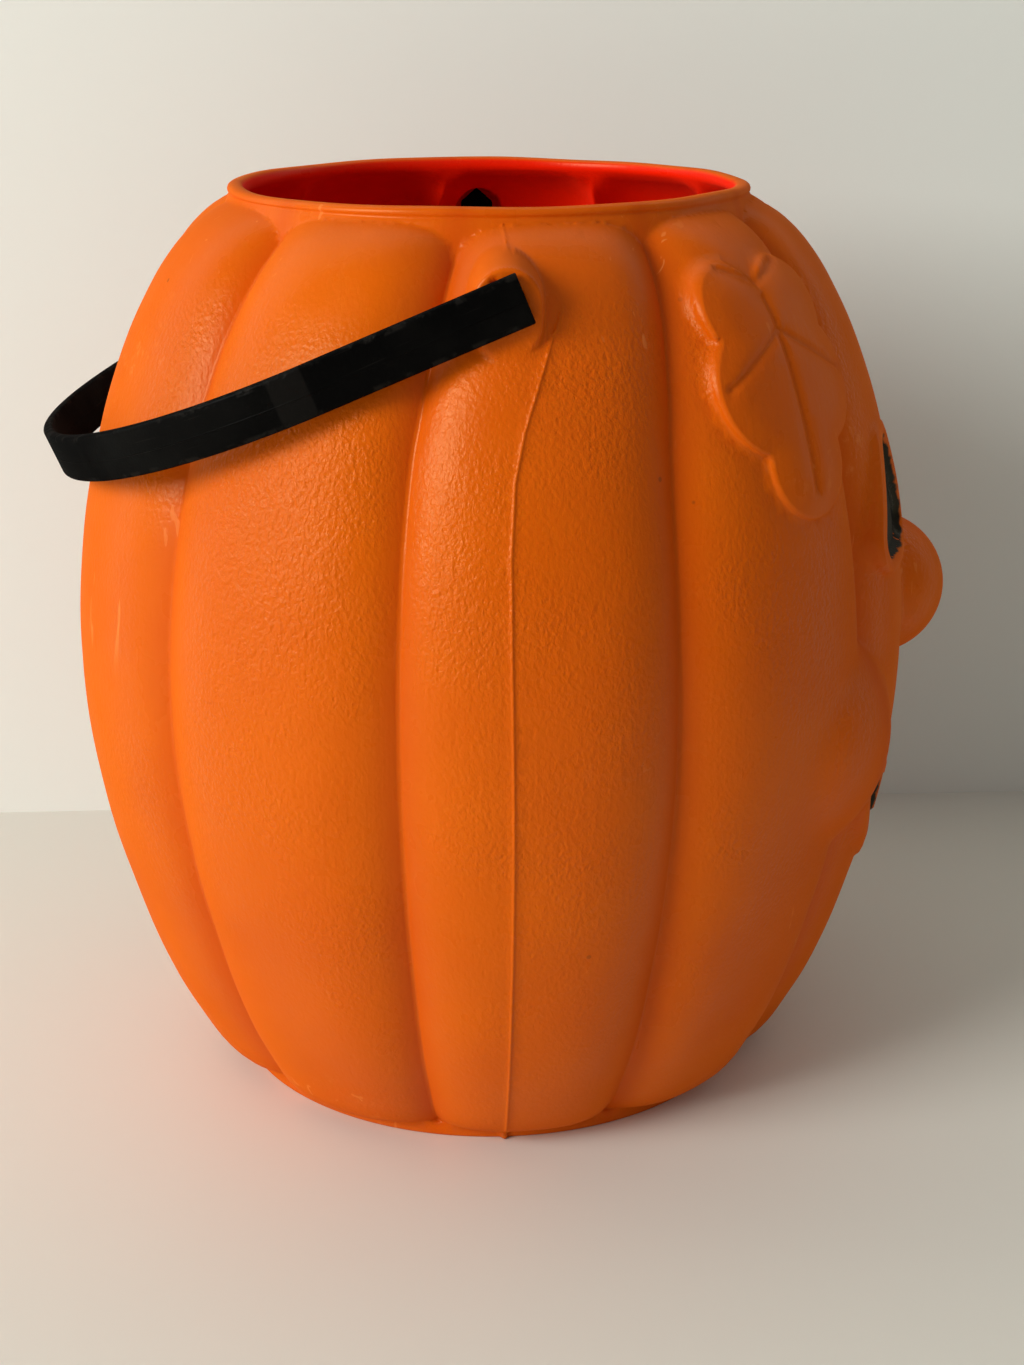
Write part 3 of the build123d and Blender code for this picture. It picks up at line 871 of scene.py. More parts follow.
def outer_marks():
    """Lines and loose points of the outside that follow what is moulded on it."""
    lines, loose = [], []
    for side in (1, -1):
        lines.append((hinge_places(HOLE, side), True))
    for middle, outline, floor in PADS:
        lines.append((around(floor, middle), True))
        loose += [around(beside(floor, gap, True), middle) for gap in FLOOR_SLOPE]
        loose += [around(beside(outline, PAD_BORDER + gap, True), middle) for gap in PAD_GAPS]
    for side in (1, -1):
        middle = side * LEAF_AZIMUTH
        lines.append((around(LEAF, middle), True))
        loose += [around(beside(LEAF, gap, True), middle) for gap in LEAF_GAPS]
        loose += [around(beside(vein, gap, False), middle) for vein in VEINS for gap in VEIN_GAPS]
        for gap in SEAM_GAPS:
            seam = np.concatenate([beside(line, gap, False) for line in SEAMS])
            seam = seam[(seam[:, 1] > SEAM_SPAN[0]) & (seam[:, 1] < SEAM_SPAN[1])]
            loose.append(around(seam * (-side, 1.0), side * 90.0))
        loose.append(hinge_places(ring_places(BOSS_RINGS, RING_POINTS), side))
    for gap in TOP_GAPS:
        tops = RIB_TOPS + (0.0, gap)
        tops = tops[tops[:, 1] < TOP_LIMIT]
        loose.append(np.stack([leaned(*tops.T), tops[:, 1]], axis=1))
    rings = ring_places(NOSE_RADIUS * np.sin(NOSE_TILTS), RING_POINTS)
    out = float(crown(NOSE_HEIGHT)) + NOSE_PROUD - NOSE_RADIUS
    depth = out + np.sqrt(NOSE_RADIUS**2 - (rings**2).sum(axis=1))
    loose.append(np.stack([np.degrees(np.arctan2(rings[:, 0], depth)), NOSE_HEIGHT + rings[:, 1]], axis=1))
    loose.append(around(ring_places(NOSE_FOOT_RINGS, RING_POINTS) + (0.0, NOSE_HEIGHT), 0.0))
    return lines, loose


def pail_skin():
    """The whole shell: outside, lip, inside, floor and foot, as one closed skin."""
    skin = Skin()

    def outer_grid(azimuth, level):
        clear = np.hypot(across(azimuth, level, 0.0), level - NOSE_HEIGHT) > NOSE_CLEAR
        clear |= np.abs(azimuth) > NOSE_CLEAR_ANGLE
        return clear & clear_of_hinges(azimuth, level, BOSS_REACH)

    def inner_grid(azimuth, level):
        return clear_of_hinges(azimuth, level, HOLLOW_CLEAR)

    outside = sheet(skin, shell_rows(), *outer_marks(), outer_grid, (0, 1), outer_fields)
    azimuths = COLUMNS[:-1]
    wave = rim_wave(azimuths)
    last = outside[1]
    for level, radius, moved, inner in LIP_ROWS:
        ring = skin.add(azimuths, level - moved * wave, flat_radius=radius, flat_weight=1.0, inside=inner)
        skin.band(last, ring)
        last = ring
    row_count = int((INNER_LAST_ROW - INNER_FIRST_ROW) / INNER_ROW_STEP)
    inner_rows = np.linspace(INNER_FIRST_ROW, INNER_LAST_ROW, row_count)
    bore = HOLE * np.minimum(1.0, HOLE_RADIUS / np.hypot(*HOLE.T))[:, None]
    inner_lines = [(hinge_places(bore, side), True) for side in (1, -1)]
    inner_loose = [hinge_places(ring_places(HOLLOW_RINGS, RING_POINTS), side) for side in (1, -1)]
    inside = sheet(skin, inner_rows, inner_lines, inner_loose, inner_grid, (0, 1), inner_fields)
    skin.band(last, inside[1])
    for outer_hole, inner_hole in zip(outside[2], inside[2]):
        skin.band(outer_hole, inner_hole)
    last = inside[0]
    for level, radius in FLOOR_ROWS:
        ring = skin.add(azimuths, level, flat_radius=radius, flat_weight=1.0, inside=1.0)
        skin.band(last, ring)
        last = ring
    skin.cap(last, FLOOR_HEIGHT, inside=1.0)
    last = outside[0]
    flash = np.where(np.abs(np.abs(azimuths) - 90.0) < FLASH_HALF_ANGLE, FLASH_HEIGHT, 0.0)
    for level, radius, weight in FOOT_ROWS:
        ridge = flash if radius > FLASH_INSIDE else 0.0
        ring = skin.add(azimuths, level, flat_radius=radius, flat_weight=weight, ridge=ridge)
        skin.band(last, ring)
        last = ring
    skin.cap(last, BASE_RECESS)
    return skin


def ribbed_shell_tree():
    """Wraps the skin's fields into the ribbed form: ribs under a collar, flats, balls and fine ridges."""
    sizes = (
        "Rim Height", "Belly Radius", "Groove Depth", "Front Rib Angle", "Rib Angle", "Lean Angle",
        "Crown Fullness", "Collar Radius", "Collar Slope", "Collar Blend", "Bulge Blend",
    )
    tree, given, result = tree_with_inputs("ribbed_shell", sizes)

    def field(name):
        node = put(tree, "GeometryNodeInputNamedAttribute", {"Name": name}, data_type="FLOAT")
        return node.outputs["Attribute"]

    level = field("level")
    azimuth = field("azimuth")
    turn = maths("ABSOLUTE", azimuth)
    front = given["Front Rib Angle"]
    pitch = given["Rib Angle"]
    side_span = times(pitch, float(SIDE_RIBS))
    past_front = minus(turn, front)
    front_part = maths("DIVIDE", maths("MINIMUM", turn, front), front)
    side_way = maths("MINIMUM", maths("MAXIMUM", past_front, 0.0), side_span)
    side_part = maths("DIVIDE", side_way, pitch)
    back_way = maths("MAXIMUM", minus(past_front, side_span), 0.0)
    back_span = minus(minus(pi, front), side_span)
    back_part = maths("DIVIDE", back_way, back_span)
    phase = plus(plus(front_part, side_part), back_part)
    valley = maths("MULTIPLY_ADD", maths("PINGPONG", phase, 0.5), -2.0, 1.0)
    height_share = maths("DIVIDE", level, given["Rim Height"])
    crown_share = share_curve(tree, height_share, CROWN_SHARES).outputs[0]
    depth_share = share_curve(tree, height_share, GROOVE_SHARES).outputs[0]
    depth = times(depth_share, given["Groove Depth"])
    drop = times(depth, maths("POWER", valley, given["Crown Fullness"]))
    rib = minus(times(crown_share, given["Belly Radius"]), drop)
    below_rim = minus(given["Rim Height"], level)
    collar = maths("MULTIPLY_ADD", below_rim, given["Collar Slope"], given["Collar Radius"])
    on_collar = maths("GREATER_THAN", height_share, COLLAR_LOWEST_SHARE)
    body = maths("SMOOTH_MAX", rib, times(collar, on_collar), given["Collar Blend"])
    flat = minus(field("flat_radius"), body)
    flattened = maths("MULTIPLY_ADD", flat, field("flat_weight"), body)
    bulged = maths("SMOOTH_MAX", flattened, field("bulge_radius"), given["Bulge Blend"])
    raised = plus(bulged, field("ridge"))
    skin_radius = times(minus(raised, field("inset")), field("draw_in"))
    lean_share = share_curve(tree, height_share, LEAN_SHARES).outputs[0]
    lean = times(lean_share, given["Lean Angle"])
    half_turn = maths("COSINE", times(turn, 0.5))
    shift = times(lean, times(maths("SINE", turn), half_turn))
    stand = minus(azimuth, times(shift, maths("SIGN", azimuth)))
    x = times(skin_radius, maths("SINE", stand))
    y = times(times(skin_radius, maths("COSINE", stand)), -1.0)
    kept = stored(tree, given["Geometry"], "valley", valley)
    place = vector(tree, x, y, level)
    wrapped = put(tree, "GeometryNodeSetPosition", {"Geometry": kept, "Position": place})
    smooth = put(tree, "GeometryNodeSetShadeSmooth", {"Geometry": wrapped.outputs[0]})
    tree.links.new(dressed(tree, smooth.outputs[0], given["Material"]), result["Geometry"])
    return tree


def pail_shell(material):
    """The blow-moulded shell."""
    values = {
        "Rim Height": RIM_HEIGHT * MM, "Belly Radius": BELLY_RADIUS * MM, "Groove Depth": GROOVE_DEPTH * MM,
        "Front Rib Angle": radians(FRONT_RIB_ANGLE), "Rib Angle": radians(RIB_ANGLE),
        "Lean Angle": radians(LEAN_ANGLE), "Crown Fullness": CROWN_FULLNESS,
        "Collar Radius": COLLAR_RADIUS * MM, "Collar Slope": COLLAR_SLOPE,
        "Collar Blend": COLLAR_BLEND * MM, "Bulge Blend": BULGE_BLEND * MM, "Material": material,
    }
    piece = grown_mesh("moulded_shell", pail_skin().mesh("moulded_shell"), ribbed_shell_tree(), values)
    turn_outwards(piece.data)
    for field in ("azimuth", "level", "inset", "draw_in", "flat_radius", "bulge_radius", "ridge"):
        piece.data.attributes.remove(piece.data.attributes[field])
    return piece


def turn_outwards(mesh):
    """Turns a closed mesh's faces outwards."""
    form = bmesh.new()
    form.from_mesh(mesh)
    bmesh.ops.recalc_face_normals(form, faces=form.faces)
    form.to_mesh(mesh)
    form.free()


# Strap

def strap_tree():
    """A flat bar along two straight legs and half an ellipse, laid back in the rest position."""
    sizes = (
        "Half Width", "Straight", "Depth", "Overhang", "Strap Width", "Thickness", "Edge Round", "Rest Angle",
        "Pivot Height",
    )
    tree, given, result = tree_with_inputs("strap_loop", sizes)
    index = put(tree, "GeometryNodeInputIndex").outputs[0]
    leg = plus(given["Straight"], given["Overhang"])
    arc = times(plus(given["Half Width"], given["Depth"]), pi / 2)
    whole = plus(times(leg, 2.0), arc)
    along = times(whole, maths("DIVIDE", index, float(STRAP_POINTS - 1)))
    past_leg = minus(along, leg)
    bend = times(maths("DIVIDE", past_leg, arc, clamp=True), pi)
    back_leg = maths("MAXIMUM", minus(past_leg, arc), 0.0)
    x = times(maths("COSINE", bend), times(given["Half Width"], -1.0))
    run = minus(maths("MINIMUM", along, leg), plus(back_leg, given["Overhang"]))
    y = maths("MULTIPLY_ADD", given["Depth"], maths("SINE", bend), run)
    path = put(tree, "GeometryNodeMeshLine", {"Count": STRAP_POINTS})
    bent = put(tree, "GeometryNodeSetPosition", {"Geometry": path.outputs[0], "Position": vector(tree, x, y)})
    marked = stored(tree, bent.outputs[0], "along", along)
    line = put(tree, "GeometryNodeMeshToCurve", {"Mesh": marked})
    upright = put(tree, "GeometryNodeSetCurveNormal", {"Curve": line.outputs[0]}, mode="Z_UP")
    bar = put(tree, "GeometryNodeCurvePrimitiveQuadrilateral",
              {"Width": given["Thickness"], "Height": given["Strap Width"]}, mode="RECTANGLE")
    corners = {"Curve": bar.outputs[0], "Count": STRAP_EDGE_STEPS, "Radius": given["Edge Round"]}
    rounded = put(tree, "GeometryNodeFilletCurve", corners, mode="POLY")
    position = put(tree, "GeometryNodeInputPosition").outputs[0]
    profile_width = put(tree, "ShaderNodeSeparateXYZ", {0: position}).outputs[1]
    profile = stored(tree, rounded.outputs[0], "across", profile_width)
    swept = put(tree, "GeometryNodeCurveToMesh",
                {"Curve": upright.outputs[0], "Profile Curve": profile, "Fill Caps": True})
    tilt = vector(tree, times(given["Rest Angle"], -1.0))
    lift = vector(tree, z=given["Pivot Height"])
    laid = put(tree, "GeometryNodeTransform",
               {"Geometry": swept.outputs[0], "Translation": lift, "Rotation": tilt})
    tree.links.new(dressed(tree, laid.outputs[0], given["Material"]), result["Geometry"])
    return tree


def snap_peg(side):
    """A peg and its pointed snap head on one side, as a closed mesh."""
    form = bmesh.new()
    head_face = BOSS_FACE - WALL - STRAP_GAP
    root = STRAP_INSIDE + STRAP_THICKNESS / 2
    turned = Matrix.Rotation(pi / 2, 4, "Y")
    peg_end = head_face - PEG_SUNK
    middle = Matrix.Translation(Vector((side * (root + peg_end) / 2, 0.0, PIVOT_HEIGHT)) * MM)
    radius = PEG_RADIUS * MM
    bmesh.ops.create_cone(form, cap_ends=True, segments=PEG_POINTS, radius1=radius, radius2=radius,
                          depth=(root - peg_end) * MM, matrix=middle @ turned)
    outline = [
        (0.0, HEAD_HALF_LENGTH), (HEAD_HALF_WIDTH, HEAD_SHOULDER), (HEAD_HALF_WIDTH, -HEAD_SHOULDER),
        (0.0, -HEAD_HALF_LENGTH), (-HEAD_HALF_WIDTH, -HEAD_SHOULDER), (-HEAD_HALF_WIDTH, HEAD_SHOULDER),
    ]
    ends = [side * head_face, side * (head_face - HEAD_THICKNESS)]
    rings = [[form.verts.new(Vector((x, y, PIVOT_HEIGHT + z)) * MM) for y, z in outline] for x in ends]
    head = [form.faces.new(ring) for ring in rings]
    for k in range(len(outline)):
        head.append(form.faces.new((rings[0][k - 1], rings[0][k], rings[1][k], rings[1][k - 1])))
    edges = list({edge for face in head for edge in face.edges})
    bmesh.ops.bevel(form, geom=edges, offset=HEAD_EDGE * MM, segments=HEAD_EDGE_STEPS, affect="EDGES",
                    profile=HEAD_EDGE_ROUND)
    bmesh.ops.recalc_face_normals(form, faces=form.faces)
    mesh = bpy.data.meshes.new("snap_peg")
    form.to_mesh(mesh)
    form.free()
    return mesh


def strap_handle(material):
    """The strap with its two pegs, as one piece."""
    values = {
        "Half Width": (STRAP_INSIDE + STRAP_THICKNESS / 2) * MM, "Straight": STRAP_STRAIGHT * MM,
        "Depth": (STRAP_REACH - STRAP_STRAIGHT - STRAP_ROOM) * MM, "Overhang": STRAP_OVERHANG * MM,
        "Strap Width": STRAP_WIDTH * MM, "Thickness": STRAP_THICKNESS * MM, "Edge Round": STRAP_EDGE * MM,
        "Rest Angle": radians(STRAP_REST_ANGLE), "Pivot Height": PIVOT_HEIGHT * MM, "Material": material,
    }
    start = bpy.data.meshes.new("strap")
    piece = grown_mesh("strap_handle_piece", start, strap_tree(), values, bevel=STRAP_END_EDGE * MM)
    form = bmesh.new()
    form.from_mesh(piece.data)
    bmesh.ops.recalc_face_normals(form, faces=form.faces)
    for side in (1, -1):
        form.from_mesh(snap_peg(side))
    for face in form.faces:
        face.smooth = True
    form.to_mesh(piece.data)
    form.free()
    piece.data.set_sharp_from_angle(angle=radians(STRAP_SHARP_ANGLE))
    return piece


# Materials

def new_material(name):
    """A material with an empty principled shader, and its tree and shader."""
    material = bpy.data.materials.new(name)
    material.use_nodes = True
    return material, material.node_tree, material.node_tree.nodes["Principled BSDF"]


def scaled_place(tree, scale):
    """Object coordinates, stretched."""
    place = put(tree, "ShaderNodeTexCoord").outputs["Object"]
    return put(tree, "ShaderNodeMapping", {"Vector": place, "Scale": scale}).outputs[0]


def noise(place, scale, detail=2.0, roughness=0.5, distortion=0.0):
    """A noise texture's value."""
    return put(place.id_data, "ShaderNodeTexNoise", {
        "Vector": place, "Scale": scale, "Detail": detail, "Roughness": roughness, "Distortion": distortion,
    }).outputs["Fac"]


def ranged(value, low, high, to_low=0.0, to_high=1.0, smooth=True):
    """A value moved from one range to another, and held inside it."""
    kind = "SMOOTHSTEP" if smooth else "LINEAR"
    return put(value.id_data, "ShaderNodeMapRange", {
        "Value": value, "From Min": low, "From Max": high, "To Min": to_low, "To Max": to_high,
    }, interpolation_type=kind).outputs[0]


def mixed(share, first, second):
    """A colour between two colours."""
    inputs = {0: share, 6: first, 7: second}
    return put(share.id_data, "ShaderNodeMix", inputs, data_type="RGBA").outputs[2]


def attribute(tree, name):
    """A field of the mesh."""
    return put(tree, "ShaderNodeAttribute", attribute_name=name).outputs["Fac"]


def bumped(height, distance, normal=None):
    """A normal bent by a height from 0 to 1 over a distance in metres."""
    inputs = {"Height": height, "Distance": distance}
    if normal is not None:
        inputs["Normal"] = normal
    return put(height.id_data, "ShaderNodeBump", inputs).outputs[0]


def edge_haze(tree):
    """Extra roughness where a surface turns away from sight, as a grained skin loses its mirror there."""
    facing = put(tree, "ShaderNodeLayerWeight", {"Blend": 0.5}).outputs["Facing"]
    return ranged(facing, 0.3, 0.8, 0.0, 0.65)


# Colours, and the strap's lighter rectangle, a painted sheen, from a distance to a distance along it in
# metres
ORANGE = (0.71, 0.120, 0.0010, 1.0)
DEEP_ORANGE_AND_GROOVE_SHADE = (0.60, 0.073, 0.0008, 1.0)
# Painted shade: the red that the inside takes from light filtered through and bounced in the orange wall
PAINTED_INNER_SHADE_RED = (0.93, 0.014, 0.001, 1.0)
SCUFF_ORANGE = (0.86, 0.26, 0.06, 1.0)
SPECK_BROWN = (0.20, 0.035, 0.006, 1.0)
FACE_BLACK = (0.010, 0.009, 0.008, 1.0)
STRAP_BLACK = (0.0012, 0.0011, 0.0010, 1.0)
STRAP_GREY = (0.016, 0.014, 0.012, 1.0)
PAINTED_SHEEN_START, PAINTED_SHEEN_END, PAINTED_SHEEN_EDGE = 0.0495, 0.0590, 0.0007
TABLE_PALE = (0.80, 0.795, 0.725, 1.0)
TABLE_SHADE = (0.77, 0.765, 0.700, 1.0)
WALL_PALE = (0.83, 0.865, 0.82, 1.0)

# Textures: features per metre, and heights of bumps in metres
GRAIN_WARP, GRAIN_WARP_REACH = 420.0, 0.0016
GRAIN_CELLS, GRAIN_WRINKLES, GRAIN_PATCHES = 960.0, 1250.0, 26.0
GRAIN_HEIGHT = 0.00032
STREAKS, STREAK_HEIGHT = 700.0, 0.00007
WAVES, WAVE_HEIGHT = 32.0, 0.0006
PINCH_HEIGHT = 0.0006
SCRATCHES, SCRATCH_AREAS = 260.0, 14.0
SPECKS, SPECK_AREAS = 70.0, 17.0
SCUFFS, SCUFF_AREAS = 210.0, 11.0
BLOTCHES, GLOSS_PATCHES = 19.0, 90.0
PAINT_WANDER, PAINT_CHIPS = 300.0, 520.0
STRAP_LINE_BREAKS, STRAP_LINE_HEIGHT = 60.0, 0.00016
STRAP_PITS, STRAP_PIT_HEIGHT = 1500.0, 0.00005
STRAP_SWELLS, STRAP_SWELL_HEIGHT = 55.0, 0.0004
STRAP_RUBS, STRAP_RUB_DEPTH = 240.0, 0.00012
STRAP_DUST, STRAP_GLOSS_PATCHES = 35.0, 130.0
TABLE_TONES = 3.0


def moulded_plastic():
    """Orange blow-moulded plastic with a leathery grain, painted shade towards the grooves and on the inside,
    and black paint in the sunk floors of the face.
    """
    material, tree, shader = new_material("moulded_orange_plastic")
    place = scaled_place(tree, (1.0, 1.0, 1.0))
    tall = scaled_place(tree, (1.0, 1.0, 0.78))
    streak = scaled_place(tree, (1.0, 1.0, 0.05))
    height = put(tree, "ShaderNodeSeparateXYZ", {0: place}).outputs[2]
    inside = attribute(tree, "inside")
    valley = attribute(tree, "valley")
    flat = attribute(tree, "flat_weight")

    # Leathery grain: small warped cells and wrinkles, strongest on the upper crowns
    warp = put(tree, "ShaderNodeTexNoise", {"Vector": tall, "Scale": GRAIN_WARP, "Detail": 2.0})
    inputs = {0: warp.outputs["Color"], "Scale": GRAIN_WARP_REACH}
    push = put(tree, "ShaderNodeVectorMath", inputs, operation="SCALE").outputs[0]
    warped = put(tree, "ShaderNodeVectorMath", {0: tall, 1: push}, operation="ADD").outputs[0]
    cells = put(tree, "ShaderNodeTexVoronoi", {"Vector": warped, "Scale": GRAIN_CELLS},
                feature="SMOOTH_F1").outputs["Distance"]
    wrinkles = noise(tall, GRAIN_WRINKLES, detail=3.0, roughness=0.6, distortion=0.4)
    grain = plus(times(cells, 0.8), times(wrinkles, 0.9))
    patch = ranged(noise(place, GRAIN_PATCHES, detail=2.0), 0.36, 0.62, 0.35, 1.0)
    upper = times(ranged(height, 0.02, 0.11, 0.25, 1.0), ranged(height, 0.222, 0.195, 0.0, 1.0))
    on_crown = ranged(valley, 1.0, 0.72, 0.2, 1.0)
    strength = times(times(patch, upper), on_crown)
    outside = minus(1.0, maths("MAXIMUM", inside, times(flat, 0.75)))
    strength = times(strength, outside)
    grain = times(grain, strength)

    # Drawn streaks down the skin, and the slow waves of a blown wall
    streaks = noise(streak, STREAKS, detail=2.0, roughness=0.6)
    waves = noise(place, WAVES, detail=1.0)
    pinch = put(tree, "ShaderNodeSeparateXYZ", {0: place}).outputs[1]
    pinch = ranged(maths("ABSOLUTE", pinch), 0.0011, 0.0004)
    under = ranged(height, 0.0026, 0.0021)
    pinch = times(times(pinch, under), minus(1.0, inside))
    normal = bumped(waves, WAVE_HEIGHT)
    normal = bumped(streaks, STREAK_HEIGHT, normal)
    normal = bumped(pinch, PINCH_HEIGHT, normal)
    normal = bumped(grain, GRAIN_HEIGHT, normal)

    # Hair scratches, specks and scuffs
    scratch_place = scaled_place(tree, (1.0, 1.0, 0.09))
    scratch = ranged(noise(scratch_place, SCRATCHES, detail=1.0, distortion=1.2), 0.715, 0.745)
    sparse = ranged(noise(place, SCRATCH_AREAS), 0.52, 0.64)
    scratch = times(scratch, sparse)
    speck = put(tree, "ShaderNodeTexVoronoi", {"Vector": place, "Scale": SPECKS}).outputs["Distance"]
    speck = times(ranged(speck, 0.05, 0.03), ranged(noise(place, SPECK_AREAS), 0.54, 0.58))
    scuff = ranged(noise(place, SCUFFS, detail=4.0, roughness=0.7), 0.56, 0.70)
    scuff = times(scuff, ranged(noise(place, SCUFF_AREAS), 0.58, 0.72))

    # Colour: random blotches of deeper orange, a deeper orange towards the grooves that is painted shade in
    # the creases, a red inside that is painted shade, paler where it is scuffed
    blotch = noise(place, BLOTCHES, detail=3.0)
    # The groove term is painted shade that darkens the orange into the creases; the blotch term is random
    # tone
    tone = plus(ranged(blotch, 0.3, 0.7, 0.0, 0.35), ranged(valley, 0.75, 1.0, 0.0, 0.4))
    colour = mixed(tone, ORANGE, DEEP_ORANGE_AND_GROOVE_SHADE)
    worn = maths("MAXIMUM", times(scratch, 0.5), times(scuff, 0.45))
    colour = mixed(worn, colour, SCUFF_ORANGE)
    colour = mixed(times(speck, 0.5), colour, SPECK_BROWN)
    # The inside gets a saturated red as painted shade, standing in for light filtered through the wall and
    # bounced inside
    colour = mixed(inside, colour, PAINTED_INNER_SHADE_RED)

    # Black paint on the sunk floors, with an edge that wanders a little and a few chips
    wander = maths("MULTIPLY_ADD", noise(place, PAINT_WANDER, detail=2.0), 0.9, -0.45)
    edge = plus(attribute(tree, "paint"), wander)
    painted = ranged(edge, 0.25, 0.05, smooth=False)
    chips = ranged(noise(place, PAINT_CHIPS, detail=3.0), 0.70, 0.73)
    near_edge = ranged(edge, -2.5, -0.3)
    painted = times(painted, minus(1.0, times(chips, near_edge)))
    colour = mixed(painted, colour, FACE_BLACK)

    sheen = noise(place, GLOSS_PATCHES, detail=3.0)
    gloss = plus(ranged(sheen, 0.3, 0.7, 0.25, 0.32), times(worn, 0.22))
    gloss = minus(gloss, times(painted, 0.12))
    gloss = plus(gloss, edge_haze(tree), clamp=True)
    fill(shader, {
        "Base Color": colour, "Roughness": gloss, "Normal": normal, "Subsurface Weight": 0.12,
        "Subsurface Radius": (1.0, 0.28, 0.06), "Subsurface Scale": 0.003, "Specular IOR Level": 0.22,
        "Specular Tint": (1.0, 0.80, 0.45, 1.0),
    })
    return material


def strap_plastic():
    """Black satin moulded plastic with a fine mould line, rubbed edges, hair scratches and dust, and a
    lighter rectangle painted on as sheen.
    """
    material, tree, shader = new_material("strap_black_plastic")
    place = scaled_place(tree, (1.0, 1.0, 1.0))
    across_strap = attribute(tree, "across")
    along_strap = attribute(tree, "along")
    line = ranged(maths("ABSOLUTE", plus(across_strap, -0.0005)), 0.00022, 0.00008)
    line = times(line, ranged(noise(place, STRAP_LINE_BREAKS), 0.35, 0.55, 0.25, 1.0))
    run = vector(tree, times(along_strap, 40.0), times(across_strap, 1800.0))
    hair = ranged(noise(run, 1.0, detail=2.0), 0.66, 0.72)
    pits = noise(place, STRAP_PITS, detail=2.0)
    rub = times(ranged(maths("ABSOLUTE", across_strap), 0.0042, 0.0049),
                ranged(noise(place, STRAP_RUBS, detail=3.0), 0.48, 0.62))
    normal = bumped(noise(place, STRAP_SWELLS), STRAP_SWELL_HEIGHT)
    normal = bumped(pits, STRAP_PIT_HEIGHT, normal)
    normal = bumped(line, STRAP_LINE_HEIGHT, normal)
    normal = bumped(rub, -STRAP_RUB_DEPTH, normal)
    worn = maths("MAXIMUM", times(rub, 0.5), times(hair, 0.35))
    dust = ranged(noise(place, STRAP_DUST, detail=3.0), 0.45, 0.75, 0.0, 0.2)
    # A lighter rectangle along the strap: a painted sheen standing in for a glossier patch
    painted_sheen_patch = times(ranged(along_strap, PAINTED_SHEEN_START, PAINTED_SHEEN_START + PAINTED_SHEEN_EDGE),
                   ranged(along_strap, PAINTED_SHEEN_END, PAINTED_SHEEN_END - PAINTED_SHEEN_EDGE))
    # The lighter colour mixes real wear and dust with the painted sheen of the rectangle
    pale = maths("MAXIMUM", maths("MAXIMUM", worn, dust), times(painted_sheen_patch, 0.32))
    colour = mixed(pale, STRAP_BLACK, STRAP_GREY)
    sheen = noise(place, STRAP_GLOSS_PATCHES, detail=3.0)
    gloss = plus(ranged(sheen, 0.3, 0.7, 0.34, 0.46), times(worn, 0.15))
    gloss = plus(gloss, edge_haze(tree), clamp=True)
    fill(shader, {"Base Color": colour, "Roughness": gloss, "Normal": normal, "Specular IOR Level": 0.035})
    return material


def table_top():
    """Pale table with a faint unevenness."""
    material, tree, shader = new_material("pale_table")
    place = scaled_place(tree, (1.0, 1.0, 1.0))
    tone = noise(place, TABLE_TONES, detail=3.0)
    fill(shader, {"Base Color": mixed(tone, TABLE_PALE, TABLE_SHADE), "Roughness": 0.55})
    return material


# Stage, light and camera: the view is fitted to the photograph's rim and foot

FLOOR_HALF = 4.0
WALL_DISTANCE = 150.0
VIEW_TURN = 2.5
VIEW_PITCH = 19.21
VIEW_DISTANCE = 522.6
VIEW_HEIGHT = 279.3
VIEW_FOCAL_PIXELS = 2052.0
IMAGE_HEIGHT_PIXELS = 1365.0
AXIS_OFFSET_PIXELS = 22.3
SENSOR = 36.0

# Lights: name, place and target in metres, size, power and colour
LIGHTS = [
    ("window", (-1.20, 1.90, 1.06), (0.0, 0.0, 0.12), 1.1, 52.0, (1.0, 0.985, 0.945)),
    ("room", (-1.0, -0.5, 1.2), (0.0, 0.0, 0.1), 1.4, 0.9, (1.0, 0.97, 0.93)),
]
WORLD_COLOUR = (0.94, 0.93, 0.90, 1.0)
WORLD_STRENGTH = 0.23


def pale_wall():
    """Pale wall that can be seen through from behind, so that views from its far side stay open."""
    material, tree, shader = new_material("pale_wall")
    fill(shader, {"Base Color": WALL_PALE, "Roughness": 0.8})
    behind = put(tree, "ShaderNodeNewGeometry").outputs["Backfacing"]
    clear = put(tree, "ShaderNodeBsdfTransparent").outputs[0]
    both = put(tree, "ShaderNodeMixShader", {0: behind, 1: shader.outputs[0], 2: clear}).outputs[0]
    tree.links.new(both, tree.nodes["Material Output"].inputs["Surface"])
    return material


def stage_plane(name, corners, material):
    """A flat four-cornered piece of the stage."""
    mesh = bpy.data.meshes.new(name)
    mesh.from_pydata(corners, [], [(0, 1, 2, 3)])
    mesh.materials.append(material)
    plane = bpy.data.objects.new(name, mesh)
    bpy.context.scene.collection.objects.link(plane)


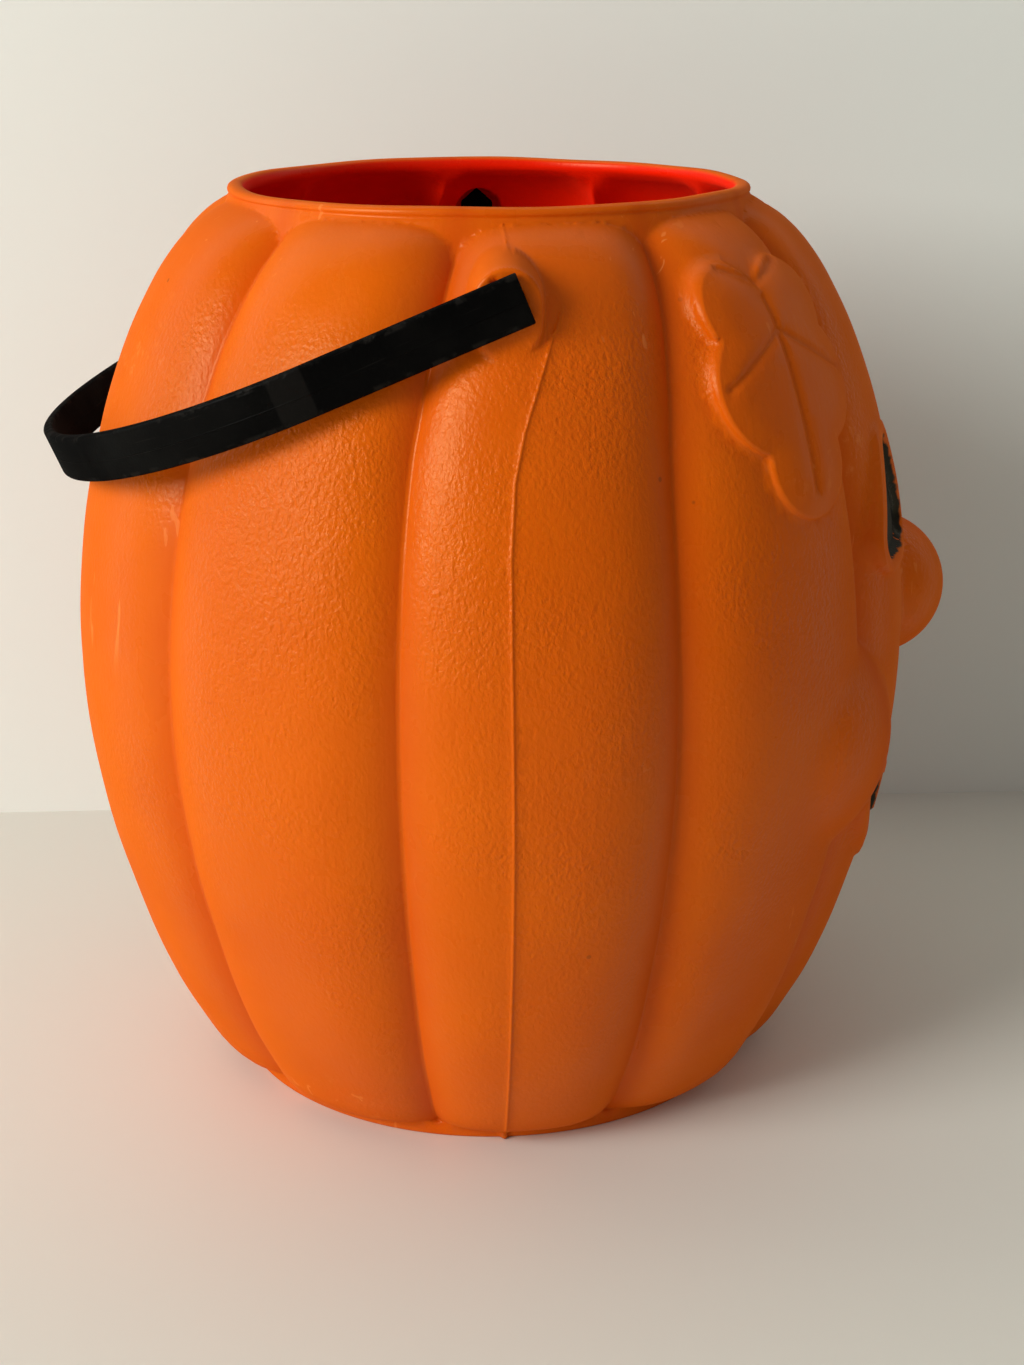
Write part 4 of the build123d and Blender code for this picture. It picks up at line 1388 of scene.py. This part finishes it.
def stage():
    """The table that the pail stands on and the wall behind it."""
    half, wall = FLOOR_HALF, WALL_DISTANCE * MM
    floor_corners = [(-half, -half, 0), (half, -half, 0), (half, half, 0), (-half, half, 0)]
    wall_corners = [(wall, half, 0), (wall, -half, 0), (wall, -half, half), (wall, half, half)]
    stage_plane("table", floor_corners, table_top())
    stage_plane("wall", wall_corners, pale_wall())


def area_light(name, place, target, size, power, colour):
    """A square soft light that looks at a target."""
    data = bpy.data.lights.new(name, "AREA")
    data.size = size
    data.energy = power
    data.color = colour
    light = bpy.data.objects.new(name, data)
    light.location = place
    light.rotation_euler = (Vector(target) - Vector(place)).to_track_quat("-Z", "Y").to_euler()
    bpy.context.scene.collection.objects.link(light)


def lighting():
    """Soft window light from the back of the pail and above, over an even room light."""
    for light in LIGHTS:
        area_light(*light)
    world = bpy.data.worlds.new("room")
    bpy.context.scene.world = world
    world.use_nodes = True
    fill(world.node_tree.nodes["Background"], {"Color": WORLD_COLOUR, "Strength": WORLD_STRENGTH})
    bpy.context.scene.view_settings.view_transform = "Standard"


def camera():
    """The photograph's view: from the handle's side, a little above the rim."""
    data = bpy.data.cameras.new("view")
    data.sensor_width = SENSOR
    data.lens = VIEW_FOCAL_PIXELS / IMAGE_HEIGHT_PIXELS * SENSOR
    view = bpy.data.objects.new("view", data)
    turn = radians(VIEW_TURN)
    view.location = Vector((-VIEW_DISTANCE * cos(turn), VIEW_DISTANCE * sin(turn), VIEW_HEIGHT)) * MM
    heading = turn + atan(AXIS_OFFSET_PIXELS / VIEW_FOCAL_PIXELS)
    pitch = radians(VIEW_PITCH)
    ahead = Vector((cos(heading) * cos(pitch), -sin(heading) * cos(pitch), -sin(pitch)))
    view.rotation_euler = ahead.to_track_quat("-Z", "Y").to_euler()
    bpy.context.scene.collection.objects.link(view)
    bpy.context.scene.camera = view


shell_piece = pail_shell(moulded_plastic())
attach(shell_piece, "pail")
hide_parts("pail_shell")
strap_piece = strap_handle(strap_plastic())
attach(strap_piece, "handle")
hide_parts("strap_handle")
stage()
lighting()
camera()
